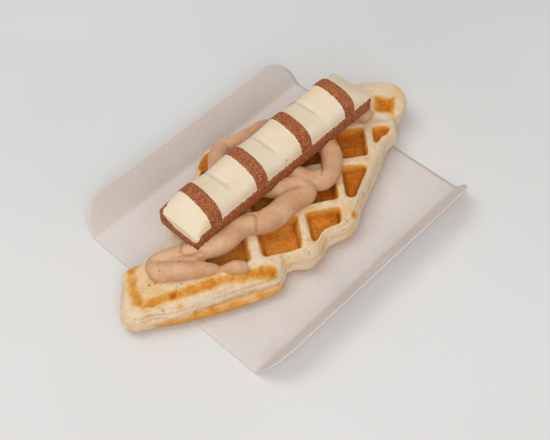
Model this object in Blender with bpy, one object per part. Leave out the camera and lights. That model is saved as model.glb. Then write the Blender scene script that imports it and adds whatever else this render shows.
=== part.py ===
"""A croffle on a folded card tray: croissant dough pressed in a waffle iron, topped with
piped hazelnut cream and a white wafer bar with cocoa-crumb stripes.

Metres, +Z up. The origin is the middle of the underside of the card, on the table.
+X runs along the tray's creases, +Y to its far flap.
"""

import bpy
import bmesh
import math
from mathutils import Vector, noise
from mathutils.bvhtree import BVHTree

# Clearances
TOUCH_GAP = 0.0003
CREAM_GAP = 0.0004
MERGE = 0.00003
# Straight parts between two given points of a smooth path
PATH_PARTS = 12

# Card tray: a flat base with a turned-up flap along each long side
CARD_THICK = 0.0005
CARD_LENGTH = 0.142
CARD_WIDTH = 0.1063
FLAP_HEIGHT = 0.0190
FLAP_TILT = math.radians(55)
FLAP_CORNER_RADIUS = 0.0165
FLAP_CORNER_STEPS = 7

# Croffle body
CROFFLE_BASE = CARD_THICK + TOUCH_GAP
CROFFLE_THICK = 0.0172
CROFFLE_END_DROP = 0.0042
CROFFLE_HALF_LENGTH = 0.095
RIM_POINTS = 116
SPINE_END = 0.066
SPINE_Y = 0.004
SPINE_SHARE = 0.8
LUMP_SIZE = 0.017
LUMP_HEIGHT = 0.0007
LUMPS_ABOVE = 0.4
FLAKE_DEPTH = 0.0007
FLAKE_WAVE_ROUND = 0.9
FLAKE_WAVE_UP = 3.1
SPLIT_DEPTH = 0.0027
SPLIT_MIDDLE_X = -0.054
SPLIT_HALF_LENGTH = 0.028
# The right tip curls up off the card from here on
TIP_LIFT = 0.0048
TIP_LIFT_START_X = 0.060

# The outline at its widest: plan place and height, from the left end along the near side
CROFFLE_OUTLINE = (
    (-0.0967, 0.0039, 0.0055), (-0.0927, -0.0035, 0.0048), (-0.0886, -0.0045, 0.0045),
    (-0.0818, -0.0099, 0.0045), (-0.0741, -0.0152, 0.0045), (-0.0534, -0.0266, 0.0045),
    (-0.0342, -0.0343, 0.0050), (-0.0245, -0.0298, 0.0060), (-0.0175, -0.0360, 0.0060),
    (-0.0090, -0.0366, 0.0060), (-0.0010, -0.0342, 0.0060), (0.0080, -0.0374, 0.0060),
    (0.0160, -0.0368, 0.0060), (0.0280, -0.0306, 0.0060), (0.0460, -0.0235, 0.0060),
    (0.0634, -0.0160, 0.0065), (0.0691, -0.0165, 0.0080), (0.0730, -0.0145, 0.0092),
    (0.0755, -0.0111, 0.0102), (0.0766, -0.0082, 0.0115), (0.0795, -0.0098, 0.0130),
    (0.0834, -0.0090, 0.0135), (0.0878, -0.0071, 0.0140), (0.0915, -0.0035, 0.0145),
    (0.0942, 0.0047, 0.0145), (0.0911, 0.0114, 0.0145), (0.0854, 0.0183, 0.0135),
    (0.0827, 0.0210, 0.0130), (0.0534, 0.0366, 0.0120), (0.0430, 0.0384, 0.0120),
    (0.0330, 0.0384, 0.0120), (0.0217, 0.0396, 0.0120), (0.0134, 0.0404, 0.0120),
    (0.0060, 0.0426, 0.0120), (-0.0010, 0.0468, 0.0120), (-0.0090, 0.0449, 0.0120),
    (-0.0229, 0.0367, 0.0120), (-0.0314, 0.0348, 0.0120), (-0.0479, 0.0265, 0.0120),
    (-0.0543, 0.0206, 0.0125), (-0.0626, 0.0198, 0.0130), (-0.0665, 0.0212, 0.0130),
    (-0.0720, 0.0189, 0.0130), (-0.0771, 0.0217, 0.0130), (-0.0817, 0.0203, 0.0110),
    (-0.0900, 0.0124, 0.0090), (-0.0942, 0.0083, 0.0070),
)

# Section of the rim below its widest place: share of the way in to the spine, and share
# of the way up from the underside
LOWER_RIM = ((0.70, 0.0), (0.30, 0.0), (0.12, 0.10), (0.035, 0.46), (0.0, 1.0))
# Above it: share of the way in, share of the way up to the top, and how far the upper
# layer of the split side draws back there
UPPER_RIM = (
    (0.010, 0.17, 0.3), (0.035, 0.22, 1.6), (0.012, 0.33, 1.0), (0.035, 0.50, 0.9),
    (0.085, 0.69, 0.7), (0.16, 0.85, 0.4), (0.28, 0.96, 0.1), (0.50, 1.00, 0.0),
    (0.76, 1.01, 0.0),
)
FLAKE_RINGS = (5, 6, 7, 8)

# Waffle grid: cell (column, row) is centred on this smooth, slightly stretched lattice
GRID_ORIGIN = Vector((-0.0183, -0.0182))
COLUMN_STEP = Vector((0.0214, -0.0117))
ROW_STEP = Vector((0.0130, 0.0182))
GRID_SHEAR = Vector((0.0015, 0.0))
COLUMN_EASE = Vector((-0.0022, 0.0002))
STUD_TIP_HALF = 0.30
STUD_SLOPE = 19.0
POCKET_FLOOR = 0.0118
POCKET_FLOOR_RISE = 0.0050
UNDERSIDE_CEILING = 0.0052
STUD_LENGTH = 0.0092
PRESS_TOP = 0.030
# The iron's studs reach in only as far as the rim: a rim this wide is left, and a cell
# counts where this share of it is inside the rim
RIM_WIDTH = 0.0044
RIM_DRAFT = 0.0012
MIN_CELL_SHARE = 0.14
CELL_SAMPLES = (-0.3, -0.15, 0.0, 0.15, 0.3)
COLUMNS = range(-3, 5)
ROWS = range(-2, 5)
# The tips are hardly pressed on top: one bent groove marks the left one instead
FIRST_TOP_COLUMN_X = -0.052
LAST_TOP_COLUMN_X = 0.072

# Browned press mark along the left tip and the near side, in plan
PRESS_MARK = (
    (-0.0755, 0.0198), (-0.0787, 0.0155), (-0.0831, 0.0094), (-0.0862, 0.0034),
    (-0.0837, 0.0001), (-0.0795, -0.0024), (-0.0737, -0.0052), (-0.0657, -0.0097),
    (-0.0527, -0.0166), (-0.0402, -0.0242), (-0.0343, -0.0284),
)
PRESS_MARK_RADIUS = 0.0022
PRESS_MARK_DEPTH = 0.0011
# Crease between the right tip and the lobe in front of it
TIP_CREASE = ((0.0785, -0.0090), (0.0745, -0.0070), (0.0705, -0.0055), (0.0686, -0.0022))
TIP_CREASE_RADIUS = 0.0019
TIP_CREASE_DEPTH = 0.0016
GROOVE_STEP = 0.005
OUTLINE_TEST_STEP = 0.004

# Hollow beside the far rim: its middle, and how wide it is
FAR_HOLLOW = (-0.0100, 0.0386, 0.0200)
FAR_HOLLOW_RADIUS = 0.0062

# Piped cream: one zigzag rope, as plan place, height of its middle and radius
CREAM_PATH = (
    (-0.0408, -0.0194, 0.0160, 0.0026), (-0.0440, -0.0168, 0.0166, 0.0035),
    (-0.0473, -0.0141, 0.0166, 0.0030), (-0.0498, -0.0120, 0.0162, 0.0018),
    (-0.0525, -0.0098, 0.0172, 0.0029), (-0.0562, -0.0064, 0.0178, 0.0038),
    (-0.0605, -0.0026, 0.0178, 0.0043), (-0.0660, 0.0022, 0.0178, 0.0046),
    (-0.0705, 0.0076, 0.0174, 0.0043), (-0.0688, 0.0120, 0.0172, 0.0036),
    (-0.0640, 0.0106, 0.0180, 0.0036), (-0.0585, 0.0068, 0.0190, 0.0042),
    (-0.0530, 0.0022, 0.0198, 0.0048),
    (-0.0475, -0.0012, 0.0204, 0.0053), (-0.0400, -0.0040, 0.0206, 0.0055),
    (-0.0310, -0.0040, 0.0206, 0.0053), (-0.0250, -0.0055, 0.0204, 0.0054),
    (-0.0200, -0.0094, 0.0202, 0.0058), (-0.0120, -0.0108, 0.0202, 0.0060),
    (-0.0040, -0.0104, 0.0202, 0.0059), (0.0025, -0.0118, 0.0200, 0.0054),
    (0.0068, -0.0118, 0.0200, 0.0050), (0.0070, -0.0062, 0.0202, 0.0052),
    (-0.0005, -0.0012, 0.0204, 0.0052), (-0.0070, 0.0062, 0.0204, 0.0048),
    (-0.0165, 0.0115, 0.0200, 0.0048), (-0.0165, 0.0205, 0.0196, 0.0052),
    (-0.0080, 0.0320, 0.0184, 0.0054), (0.0005, 0.0382, 0.0168, 0.0050),
    (0.0055, 0.0366, 0.0172, 0.0049), (0.0110, 0.0341, 0.0176, 0.0049),
    (0.0180, 0.0330, 0.0178, 0.0049), (0.0255, 0.0300, 0.0180, 0.0049),
    (0.0240, 0.0210, 0.0198, 0.0052), (0.0180, 0.0110, 0.0202, 0.0052),
    (0.0110, 0.0020, 0.0202, 0.0054), (0.0120, -0.0070, 0.0200, 0.0056),
    (0.0185, -0.0122, 0.0198, 0.0054), (0.0250, -0.0108, 0.0199, 0.0053),
    (0.0310, -0.0060, 0.0200, 0.0055), (0.0345, 0.0010, 0.0202, 0.0053),
    (0.0345, 0.0110, 0.0200, 0.0050), (0.0370, 0.0220, 0.0190, 0.0050),
    (0.0430, 0.0285, 0.0178, 0.0048), (0.0510, 0.0240, 0.0180, 0.0048),
    (0.0560, 0.0130, 0.0184, 0.0048), (0.0630, 0.0030, 0.0180, 0.0046),
    (0.0640, -0.0020, 0.0176, 0.0038),
)
CREAM_STEP = 0.0030
CREAM_SIDES = 8
CREAM_VOXEL = 0.0019
CREAM_DETAIL_KEPT = 0.33
BAR_ROOM_HEIGHT = 0.05

# Wafer bar
BAR_START_X = -0.0530
BAR_END_X = 0.0665
BAR_MIDDLE_Y = 0.0122
BAR_HALF_WIDTH = 0.0130
BAR_BOTTOM = 0.0222
BAR_SHOULDER = 0.0300
BAR_LOAF_INSET = 0.0009
BAR_CREST = 0.0086
BAR_VALLEY = 0.0066
BAR_END_CREST = 0.0014
BAR_START_CORNER = 0.0032
BAR_END_CORNER = 0.0016
BAR_LOWER_EDGE = 0.0010
STRIPE_X = (-0.0385, -0.0090, 0.0212, 0.0518)
STRIPE_HALF_WIDTH = 0.0033
STRIPE_PROUD = 0.0005
STRIPE_LEAN = 0.09
STRIPE_SPREAD = 1.35
STRIPE_FLATNESS = 0.3
BAR_CORNER_SHARE = 0.8
CREASE_SHARE = 0.47
CREASE_DEPTH = 0.0010
CREASE_HALF_WIDTH = 0.0012
ARCH_POWER = 2.5
ARCH_STEPS = 14
BAR_STEP = 0.0024

# Colour, roughness
LOOKS = {
    "card": ((0.80, 0.76, 0.75), 0.65),
    "crust": ((0.78, 0.58, 0.30), 0.75),
    "cream": ((0.68, 0.44, 0.29), 0.45),
    "bar": ((0.84, 0.78, 0.62), 0.50),
}


def clear_scene():
    for item in list(bpy.data.objects):
        bpy.data.objects.remove(item, do_unlink=True)


def make_material(name):
    colour, roughness = LOOKS[name]
    material = bpy.data.materials.new(name)
    material.use_nodes = True
    shader = material.node_tree.nodes["Principled BSDF"]
    shader.inputs["Base Color"].default_value = (*colour, 1.0)
    shader.inputs["Roughness"].default_value = roughness
    shader.inputs["Metallic"].default_value = 0.0
    return material


def object_from(name, bm, material=None):
    mesh = bpy.data.meshes.new(name)
    bm.to_mesh(mesh)
    bm.free()
    item = bpy.data.objects.new(name, mesh)
    bpy.context.scene.collection.objects.link(item)
    if material:
        mesh.materials.append(material)
    return item


def as_guide(item):
    item.hide_render = True
    item.display_type = "WIRE"
    return item


def smooth_curve_point(a, b, c, d, t):
    """A Catmull-Rom point between b and c."""
    return 0.5 * (
        2 * b + (c - a) * t + (2 * a - 5 * b + 4 * c - d) * t * t
        + (3 * b - a - 3 * c + d) * t * t * t
    )


def smooth_path(points, step, closed=False):
    """Points at about even steps on a smooth curve through the given ones."""
    rows = [Vector(p) for p in points]
    count = len(rows)
    fine = []
    for i in range(count if closed else count - 1):
        if closed:
            four = [rows[(i + k) % count] for k in (-1, 0, 1, 2)]
        else:
            four = [rows[min(max(i + k, 0), count - 1)] for k in (-1, 0, 1, 2)]
        fine += [smooth_curve_point(*four, k / PATH_PARTS) for k in range(PATH_PARTS)]
    fine.append(fine[0] if closed else rows[-1])
    lengths = [0.0]
    for a, b in zip(fine, fine[1:]):
        lengths.append(lengths[-1] + (b - a).length)
    spans = max(2, round(lengths[-1] / step))
    out = []
    at = 0
    for k in range(spans + (0 if closed else 1)):
        want = lengths[-1] * k / spans
        while at < len(fine) - 2 and lengths[at + 1] < want:
            at += 1
        share = (want - lengths[at]) / max(lengths[at + 1] - lengths[at], 1e-9)
        out.append(fine[at].lerp(fine[at + 1], min(max(share, 0.0), 1.0)))
    return out


def bump(value, middle, half):
    """1 at the middle, falling smoothly to 0 at half each side of it."""
    away = abs(value - middle) / half
    return 0.0 if away >= 1 else (1 - away * away) ** 2


# Card tray

def make_card_tray():
    """The base and its two flaps as one sheet, folded up and thickened."""
    bm = bmesh.new()
    half_x = CARD_LENGTH / 2
    half_y = CARD_WIDTH / 2
    base = [bm.verts.new((x, y, 0)) for x, y in
            ((-half_x, -half_y), (half_x, -half_y), (half_x, half_y), (-half_x, half_y))]
    bm.faces.new(base)
    for side in (-1, 1):
        corner_a, corner_b = (base[0], base[1]) if side < 0 else (base[2], base[3])
        ring = [corner_b, corner_a]
        start = corner_a.co.x
        for end_x in (start, -start):
            inward = -1 if end_x > 0 else 1
            centre_x = end_x + inward * FLAP_CORNER_RADIUS
            for k in range(FLAP_CORNER_STEPS + 1):
                turn = math.pi / 2 * k / FLAP_CORNER_STEPS
                if end_x != start:
                    turn = math.pi / 2 - turn
                across = centre_x - inward * FLAP_CORNER_RADIUS * math.cos(turn)
                up = FLAP_HEIGHT - FLAP_CORNER_RADIUS * (1 - math.sin(turn))
                place = (across, side * (half_y + up * math.cos(FLAP_TILT)), up * math.sin(FLAP_TILT))
                ring.append(bm.verts.new(place))
        bm.faces.new(ring)
    bmesh.ops.recalc_face_normals(bm, faces=bm.faces)
    bm.faces.ensure_lookup_table()
    if bm.faces[0].normal.z < 0:
        bmesh.ops.reverse_faces(bm, faces=bm.faces)
    tray = object_from("card_tray", bm, make_material("card"))
    wall = tray.modifiers.new("thickness", "SOLIDIFY")
    wall.thickness = CARD_THICK
    wall.offset = 1.0
    wall.use_even_offset = True
    return tray


# Croffle

def inward_of(point):
    """The nearest place on the spine that runs along the middle of the croffle."""
    x = max(-SPINE_END, min(SPINE_END, point.x * SPINE_SHARE))
    return Vector((x, SPINE_Y * (1 - abs(x) / SPINE_END)))


def underside_at(x):
    share = max(0.0, (x - TIP_LIFT_START_X) / (CROFFLE_HALF_LENGTH - TIP_LIFT_START_X))
    return CROFFLE_BASE + TIP_LIFT * share * share


def top_at(x):
    thick = CROFFLE_THICK - CROFFLE_END_DROP * (abs(x) / CROFFLE_HALF_LENGTH) ** 2
    return underside_at(x) + thick


def lumps(place, size, height):
    return noise.noise(Vector(place) / size) * height


def split_amount(point):
    if point.y > 0:
        return 0.0
    return bump(point.x, SPLIT_MIDDLE_X, SPLIT_HALF_LENGTH)


def croffle_ring(outline, index, grow):
    """One closed ring of the body: where it lies in plan and how high."""
    upper = index - len(LOWER_RIM)
    inward, share, draw_back = UPPER_RIM[upper] if upper >= 0 else (*LOWER_RIM[index], 0.0)
    ring = []
    for number, point in enumerate(outline):
        spine = inward_of(point)
        reach = (spine - point.xy).length
        pull = inward + draw_back * split_amount(point) * SPLIT_DEPTH / reach
        if index in FLAKE_RINGS:
            wave = noise.noise(Vector((number * FLAKE_WAVE_ROUND, index * FLAKE_WAVE_UP, 0.0)))
            pull += FLAKE_DEPTH * (0.5 + wave) / reach
        spot = point.xy.lerp(spine, pull)
        if upper >= 0:
            z = point.z + share * (top_at(spot.x) - point.z) + grow
        else:
            base = underside_at(spot.x)
            z = base + share * (point.z - base) - grow * (1 - share)
        if upper >= 0 and share > LUMPS_ABOVE:
            z += lumps((spot.x, spot.y, 0.3), LUMP_SIZE, LUMP_HEIGHT)
        spot = point.xy.lerp(spine, pull - grow / reach)
        ring.append(Vector((spot.x, spot.y, z)))
    return ring


def croffle_body(name, grow):
    total = sum((Vector(a) - Vector(b)).length for a, b in
                zip(CROFFLE_OUTLINE, CROFFLE_OUTLINE[1:] + CROFFLE_OUTLINE[:1]))
    outline = smooth_path(CROFFLE_OUTLINE, total / RIM_POINTS, closed=True)
    bm = bmesh.new()
    first = croffle_ring(outline, 0, grow)
    verts = [bm.verts.new(place) for place in first]
    edges = [bm.edges.new((verts[i - 1], verts[i])) for i in range(len(verts))]
    bmesh.ops.triangle_fill(bm, use_beauty=True, edges=edges)
    for index in range(1, len(LOWER_RIM) + len(UPPER_RIM)):
        made = bmesh.ops.extrude_edge_only(bm, edges=edges)["geom"]
        new_verts = [g for g in made if isinstance(g, bmesh.types.BMVert)]
        places = croffle_ring(outline, index, grow)
        below = croffle_ring(outline, index - 1, grow)
        lookup = {tuple(round(c, 7) for c in spot): places[i] for i, spot in enumerate(below)}
        for vert in new_verts:
            vert.co = lookup[tuple(round(c, 7) for c in vert.co)]
        chosen = set(new_verts)
        edges = [g for g in made if isinstance(g, bmesh.types.BMEdge)
                 and g.verts[0] in chosen and g.verts[1] in chosen]
    bmesh.ops.triangle_fill(bm, use_beauty=True, edges=edges)
    bmesh.ops.recalc_face_normals(bm, faces=bm.faces)
    return object_from(name, bm)


def grid_place(column, row):
    return (GRID_ORIGIN + COLUMN_STEP * column + ROW_STEP * row
            + GRID_SHEAR * column * row + COLUMN_EASE * column * column)


def inside_by(outline, place):
    """How far a place in plan is inside the outline; negative outside it."""
    nearest = 1.0
    inside = False
    for i in range(len(outline)):
        a, b = outline[i - 1], outline[i]
        along = b - a
        share = max(0.0, min(1.0, (place - a).dot(along) / along.length_squared))
        nearest = min(nearest, (a + along * share - place).length)
        if (a.y > place.y) != (b.y > place.y):
            if place.x < a.x + (place.y - a.y) / (b.y - a.y) * (b.x - a.x):
                inside = not inside
    return nearest if inside else -nearest


def pocket_floor(x):
    lift = underside_at(x) - CROFFLE_BASE
    return POCKET_FLOOR + lift + POCKET_FLOOR_RISE * (abs(x) / CROFFLE_HALF_LENGTH) ** 4


def inset(outline, by):
    """The outline drawn in towards the spine."""
    return [place.lerp(inward_of(place), by / (inward_of(place) - place).length) for place in outline]


def press_area(outline, top, grow):
    """The room that the iron's studs have inside the rim, a little wider at their roots."""
    tip_ring = inset(outline, RIM_WIDTH + RIM_DRAFT + grow)
    root_ring = inset(outline, RIM_WIDTH - RIM_DRAFT + grow)
    if top:
        levels = [(tip_ring, 0.0), (tip_ring, POCKET_FLOOR), (root_ring, PRESS_TOP)]
    else:
        levels = [(tip_ring, POCKET_FLOOR), (tip_ring, UNDERSIDE_CEILING), (root_ring, -PRESS_TOP)]
    bm = bmesh.new()
    verts = [bm.verts.new((place.x, place.y, levels[0][1])) for place in levels[0][0]]
    edges = [bm.edges.new((verts[i - 1], verts[i])) for i in range(len(verts))]
    bmesh.ops.triangle_fill(bm, use_beauty=True, edges=edges)
    for ring, z in levels[1:]:
        made = bmesh.ops.extrude_edge_only(bm, edges=edges)["geom"]
        fresh = {g for g in made if isinstance(g, bmesh.types.BMVert)}
        twins = [next(e.other_vert(vert) for e in vert.link_edges if e.other_vert(vert) in fresh)
                 for vert in verts]
        for vert, place in zip(twins, ring):
            vert.co = Vector((place.x, place.y, z))
        verts = twins
        edges = [g for g in made if isinstance(g, bmesh.types.BMEdge)
                 and g.verts[0] in fresh and g.verts[1] in fresh]
    bmesh.ops.triangle_fill(bm, use_beauty=True, edges=edges)
    bmesh.ops.recalc_face_normals(bm, faces=bm.faces)
    return as_guide(object_from("press_area", bm))


def cell_share(outline, column, row):
    """The share of a cell that lies inside the rim."""
    spots = [grid_place(column + u, row + v) for u in CELL_SAMPLES for v in CELL_SAMPLES]
    return sum(inside_by(outline, spot) > RIM_WIDTH for spot in spots) / len(spots)


def add_stud(bm, column, row, tip_z, end_z, grow):
    """A tapered stud of the iron, its tip in the dough and its wide end clear of it."""
    tip_half = STUD_TIP_HALF - grow / COLUMN_STEP.length
    made = bmesh.ops.create_cube(bm, size=2.0)["verts"]
    for vert in made:
        at_tip = vert.co.z < 0
        z = tip_z if at_tip else end_z
        half = tip_half + (0 if at_tip else abs(end_z - tip_z) * STUD_SLOPE)
        flat = grid_place(column + vert.co.x * half, row + vert.co.y * half)
        vert.co = Vector((flat.x, flat.y, z))


def waffle_studs(outline, top, grow):
    bm = bmesh.new()
    for column in COLUMNS:
        for row in ROWS:
            middle = grid_place(column, row)
            if cell_share(outline, column, row) < MIN_CELL_SHARE:
                continue
            if top and not FIRST_TOP_COLUMN_X < middle.x < LAST_TOP_COLUMN_X:
                continue
            if top:
                floor = pocket_floor(middle.x) + grow
                add_stud(bm, column, row, floor, floor + STUD_LENGTH, grow)
            else:
                ceiling = UNDERSIDE_CEILING - grow
                add_stud(bm, column, row, ceiling, ceiling - STUD_LENGTH, grow)
    bmesh.ops.recalc_face_normals(bm, faces=bm.faces)
    name = "studs_above" if top else "studs_below"
    studs = as_guide(object_from(name, bm))
    room = press_area(outline, top, grow)
    combine(studs, room, "INTERSECT")
    settle(studs, largest_only=False)
    bpy.data.objects.remove(room, do_unlink=True)
    return studs


def far_hollow(grow):
    bm = bmesh.new()
    bmesh.ops.create_icosphere(bm, subdivisions=2, radius=FAR_HOLLOW_RADIUS - grow)
    bmesh.ops.translate(bm, vec=FAR_HOLLOW, verts=bm.verts)
    return as_guide(object_from("far_hollow", bm))


def groove_cutter(name, path, radius, depth, body):
    """A thin bar that lies along the top of the body and is sunk into it by depth."""
    tree = BVHTree.FromObject(body, bpy.context.evaluated_depsgraph_get())
    curve = bpy.data.curves.new(name, "CURVE")
    curve.dimensions = "3D"
    curve.bevel_depth = radius
    curve.bevel_resolution = 1
    curve.use_fill_caps = True
    flat = smooth_path(path, GROOVE_STEP)
    spline = curve.splines.new("POLY")
    spline.points.add(len(flat) - 1)
    for point, place in zip(spline.points, flat):
        hit = tree.ray_cast(Vector((place.x, place.y, 1.0)), Vector((0, 0, -1)))[0]
        z = hit.z if hit else CROFFLE_BASE + CROFFLE_THICK / 2
        point.co = (place.x, place.y, z + radius - depth, 1.0)
    item = bpy.data.objects.new(name, curve)
    bpy.context.scene.collection.objects.link(item)
    return as_guide(mesh_copy(item, name + "_solid"))


def mesh_copy(item, name):
    """The item as the viewport shows it, as a closed mesh object; the item is removed."""
    graph = bpy.context.evaluated_depsgraph_get()
    mesh = bpy.data.meshes.new_from_object(item.evaluated_get(graph), depsgraph=graph)
    bm = bmesh.new()
    bm.from_mesh(mesh)
    bmesh.ops.remove_doubles(bm, verts=bm.verts, dist=MERGE)
    bm.to_mesh(mesh)
    bm.free()
    copy = bpy.data.objects.new(name, mesh)
    bpy.context.scene.collection.objects.link(copy)
    bpy.data.objects.remove(item, do_unlink=True)
    return copy


def combine(item, other, operation, solver="EXACT"):
    step = item.modifiers.new(operation.lower() + "_" + other.name, "BOOLEAN")
    step.operation = operation
    step.object = other
    step.solver = solver


def cut(item, cutter, solver="EXACT"):
    combine(item, cutter, "DIFFERENCE", solver)


def settle(item, largest_only=True):
    """The modifiers become the mesh, so that what is cut next starts from plain faces."""
    graph = bpy.context.evaluated_depsgraph_get()
    mesh = bpy.data.meshes.new_from_object(item.evaluated_get(graph), depsgraph=graph)
    item.modifiers.clear()
    item.data = mesh
    bm = bmesh.new()
    bm.from_mesh(mesh)
    bmesh.ops.remove_doubles(bm, verts=bm.verts, dist=MERGE)
    bmesh.ops.dissolve_degenerate(bm, dist=MERGE, edges=bm.edges)
    if largest_only:
        keep_largest(bm)
    bmesh.ops.triangulate(bm, faces=bm.faces)
    bm.to_mesh(mesh)
    bm.free()


def keep_largest(bm):
    """Drops loose scraps: only the body with the most faces stays."""
    unseen = set(bm.faces)
    groups = []
    while unseen:
        front = [unseen.pop()]
        group = set(front)
        while front:
            face = front.pop()
            for edge in face.edges:
                for other in edge.link_faces:
                    if other in unseen:
                        unseen.remove(other)
                        group.add(other)
                        front.append(other)
        groups.append(group)
    largest = max(groups, key=len)
    spare = [face for group in groups if group is not largest for face in group]
    bmesh.ops.delete(bm, geom=spare, context="FACES")


def make_croffle(name, grow=0.0):
    """The pressed dough; with grow, all its faces lie that much further out."""
    croffle = croffle_body(name, grow)
    outline = [place.xy for place in smooth_path(CROFFLE_OUTLINE, OUTLINE_TEST_STEP, closed=True)]
    mark = groove_cutter("press_mark", PRESS_MARK, PRESS_MARK_RADIUS - grow, PRESS_MARK_DEPTH, croffle)
    crease = groove_cutter("tip_crease", TIP_CREASE, TIP_CREASE_RADIUS - grow, TIP_CREASE_DEPTH, croffle)
    cutters = [waffle_studs(outline, True, grow), waffle_studs(outline, False, grow),
               far_hollow(grow), mark, crease]
    for cutter in cutters:
        cut(croffle, cutter)
    settle(croffle)
    for cutter in cutters:
        bpy.data.objects.remove(cutter, do_unlink=True)
    return croffle


# Cream

def box_guide(name, low, high):
    bm = bmesh.new()
    bmesh.ops.create_cube(bm, size=1.0)
    size = Vector(high) - Vector(low)
    middle = (Vector(high) + Vector(low)) / 2
    bmesh.ops.scale(bm, vec=size, verts=bm.verts)
    bmesh.ops.translate(bm, vec=middle, verts=bm.verts)
    return as_guide(object_from(name, bm))


def make_cream():
    curve = bpy.data.curves.new("rope", "CURVE")
    curve.dimensions = "3D"
    curve.bevel_depth = 1.0
    curve.bevel_resolution = CREAM_SIDES // 4
    curve.use_fill_caps = True
    rope = smooth_path(CREAM_PATH, CREAM_STEP)
    spline = curve.splines.new("POLY")
    spline.points.add(len(rope) - 1)
    for point, place in zip(spline.points, rope):
        point.co = (place[0], place[1], place[2], 1.0)
        point.radius = place[3]
    guide = bpy.data.objects.new("rope", curve)
    bpy.context.scene.collection.objects.link(guide)
    cream = mesh_copy(guide, "hazelnut_cream")
    cream.data.materials.clear()
    cream.data.materials.append(make_material("cream"))
    fuse = cream.modifiers.new("fuse", "REMESH")
    fuse.mode = "VOXEL"
    fuse.voxel_size = CREAM_VOXEL
    thin = cream.modifiers.new("thin", "DECIMATE")
    thin.ratio = CREAM_DETAIL_KEPT
    dough = as_guide(make_croffle("dough_room", grow=CREAM_GAP))
    cut(cream, dough, "MANIFOLD")
    room_half = BAR_HALF_WIDTH + TOUCH_GAP
    low = (BAR_START_X - TOUCH_GAP, BAR_MIDDLE_Y - room_half, BAR_BOTTOM - TOUCH_GAP)
    high = (BAR_END_X + TOUCH_GAP, BAR_MIDDLE_Y + room_half, BAR_BOTTOM + BAR_ROOM_HEIGHT)
    bar_room = box_guide("bar_room", low, high)
    cut(cream, bar_room, "MANIFOLD")
    settle(cream)
    for guide in (dough, bar_room):
        bpy.data.objects.remove(guide, do_unlink=True)
    return cream


# Wafer bar

def loaf_height(x):
    """Height of the white loaf above the shoulder: a hump at each stripe, lower at the ends."""
    if x <= STRIPE_X[0]:
        share = (x - BAR_START_X) / (STRIPE_X[0] - BAR_START_X)
        return BAR_END_CREST + (BAR_CREST - BAR_END_CREST) * math.sin(share * math.pi / 2)
    if x >= STRIPE_X[-1]:
        share = (BAR_END_X - x) / (BAR_END_X - STRIPE_X[-1])
        return BAR_END_CREST + (BAR_CREST - BAR_END_CREST) * math.sin(share * math.pi / 2)
    for a, b in zip(STRIPE_X, STRIPE_X[1:]):
        if a <= x <= b:
            share = (x - a) / (b - a)
            dip = math.sin(share * math.pi) ** 2
            crease = CREASE_DEPTH * bump(x, a + (b - a) * CREASE_SHARE, CREASE_HALF_WIDTH)
            return BAR_CREST - (BAR_CREST - BAR_VALLEY) * dip - crease
    return BAR_CREST


def on_stripe(x):
    half = STRIPE_HALF_WIDTH * STRIPE_SPREAD
    return max(bump(x, middle, half) ** STRIPE_FLATNESS for middle in STRIPE_X)


def corner_tuck(from_end, radius):
    """How far a side draws in that near to an end with rounded corners."""
    gone = max(0.0, radius - from_end)
    return radius - math.sqrt(max(radius ** 2 - gone ** 2, 0.0))


def bar_section(x):
    """Points of the section at x: up the near side, over the arch and down the far side."""
    tuck = corner_tuck(x - BAR_START_X, BAR_START_CORNER) + corner_tuck(BAR_END_X - x, BAR_END_CORNER)
    half = BAR_HALF_WIDTH - tuck * BAR_CORNER_SHARE
    inner = half - BAR_LOAF_INSET
    height = loaf_height(x)
    section = [(-half + BAR_LOWER_EDGE, BAR_BOTTOM), (-half, BAR_BOTTOM + BAR_LOWER_EDGE),
               (-half, BAR_SHOULDER - BAR_LOAF_INSET / 2), (-half + BAR_LOAF_INSET / 2, BAR_SHOULDER)]
    for k in range(ARCH_STEPS + 1):
        turn = math.pi * k / ARCH_STEPS
        side = math.cos(turn)
        y = -inner * math.copysign(abs(side) ** (2 / ARCH_POWER), side)
        z = BAR_SHOULDER + height * math.sin(turn) ** (2 / ARCH_POWER)
        lean = STRIPE_LEAN * y
        z += STRIPE_PROUD * on_stripe(x - lean) * math.sin(turn)
        section.append((y, max(z, BAR_SHOULDER + TOUCH_GAP)))
    section += [(-y, z) for y, z in reversed(section[:4])]
    return section


def make_bar():
    """The section is extruded along the bar, and each new ring takes its own shape."""
    bm = bmesh.new()
    spans = round((BAR_END_X - BAR_START_X) / BAR_STEP)
    stations = [BAR_START_X + (BAR_END_X - BAR_START_X) * k / spans for k in range(spans + 1)]
    ring = [bm.verts.new((stations[0], BAR_MIDDLE_Y + y, z)) for y, z in bar_section(stations[0])]
    start = bm.faces.new(ring)
    edges = list(start.edges)
    for x in stations[1:]:
        made = bmesh.ops.extrude_edge_only(bm, edges=edges)["geom"]
        fresh = {g for g in made if isinstance(g, bmesh.types.BMVert)}
        next_ring = []
        for vert in ring:
            twin = next(e.other_vert(vert) for e in vert.link_edges if e.other_vert(vert) in fresh)
            next_ring.append(twin)
        for vert, (y, z) in zip(next_ring, bar_section(x)):
            vert.co = Vector((x, BAR_MIDDLE_Y + y, z))
        edges = [g for g in made if isinstance(g, bmesh.types.BMEdge)
                 and g.verts[0] in fresh and g.verts[1] in fresh]
        ring = next_ring
    bm.faces.new(ring)
    bmesh.ops.recalc_face_normals(bm, faces=bm.faces)
    bmesh.ops.triangulate(bm, faces=bm.faces)
    return object_from("wafer_bar", bm, make_material("bar"))


def main():
    clear_scene()
    make_card_tray()
    croffle = make_croffle("croffle")
    croffle.data.materials.append(make_material("crust"))
    make_cream()
    bar = make_bar()
    for item in (croffle, bar):
        item.data.shade_smooth()
        item.data.set_sharp_from_angle(angle=math.radians(40))


main()
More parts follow.
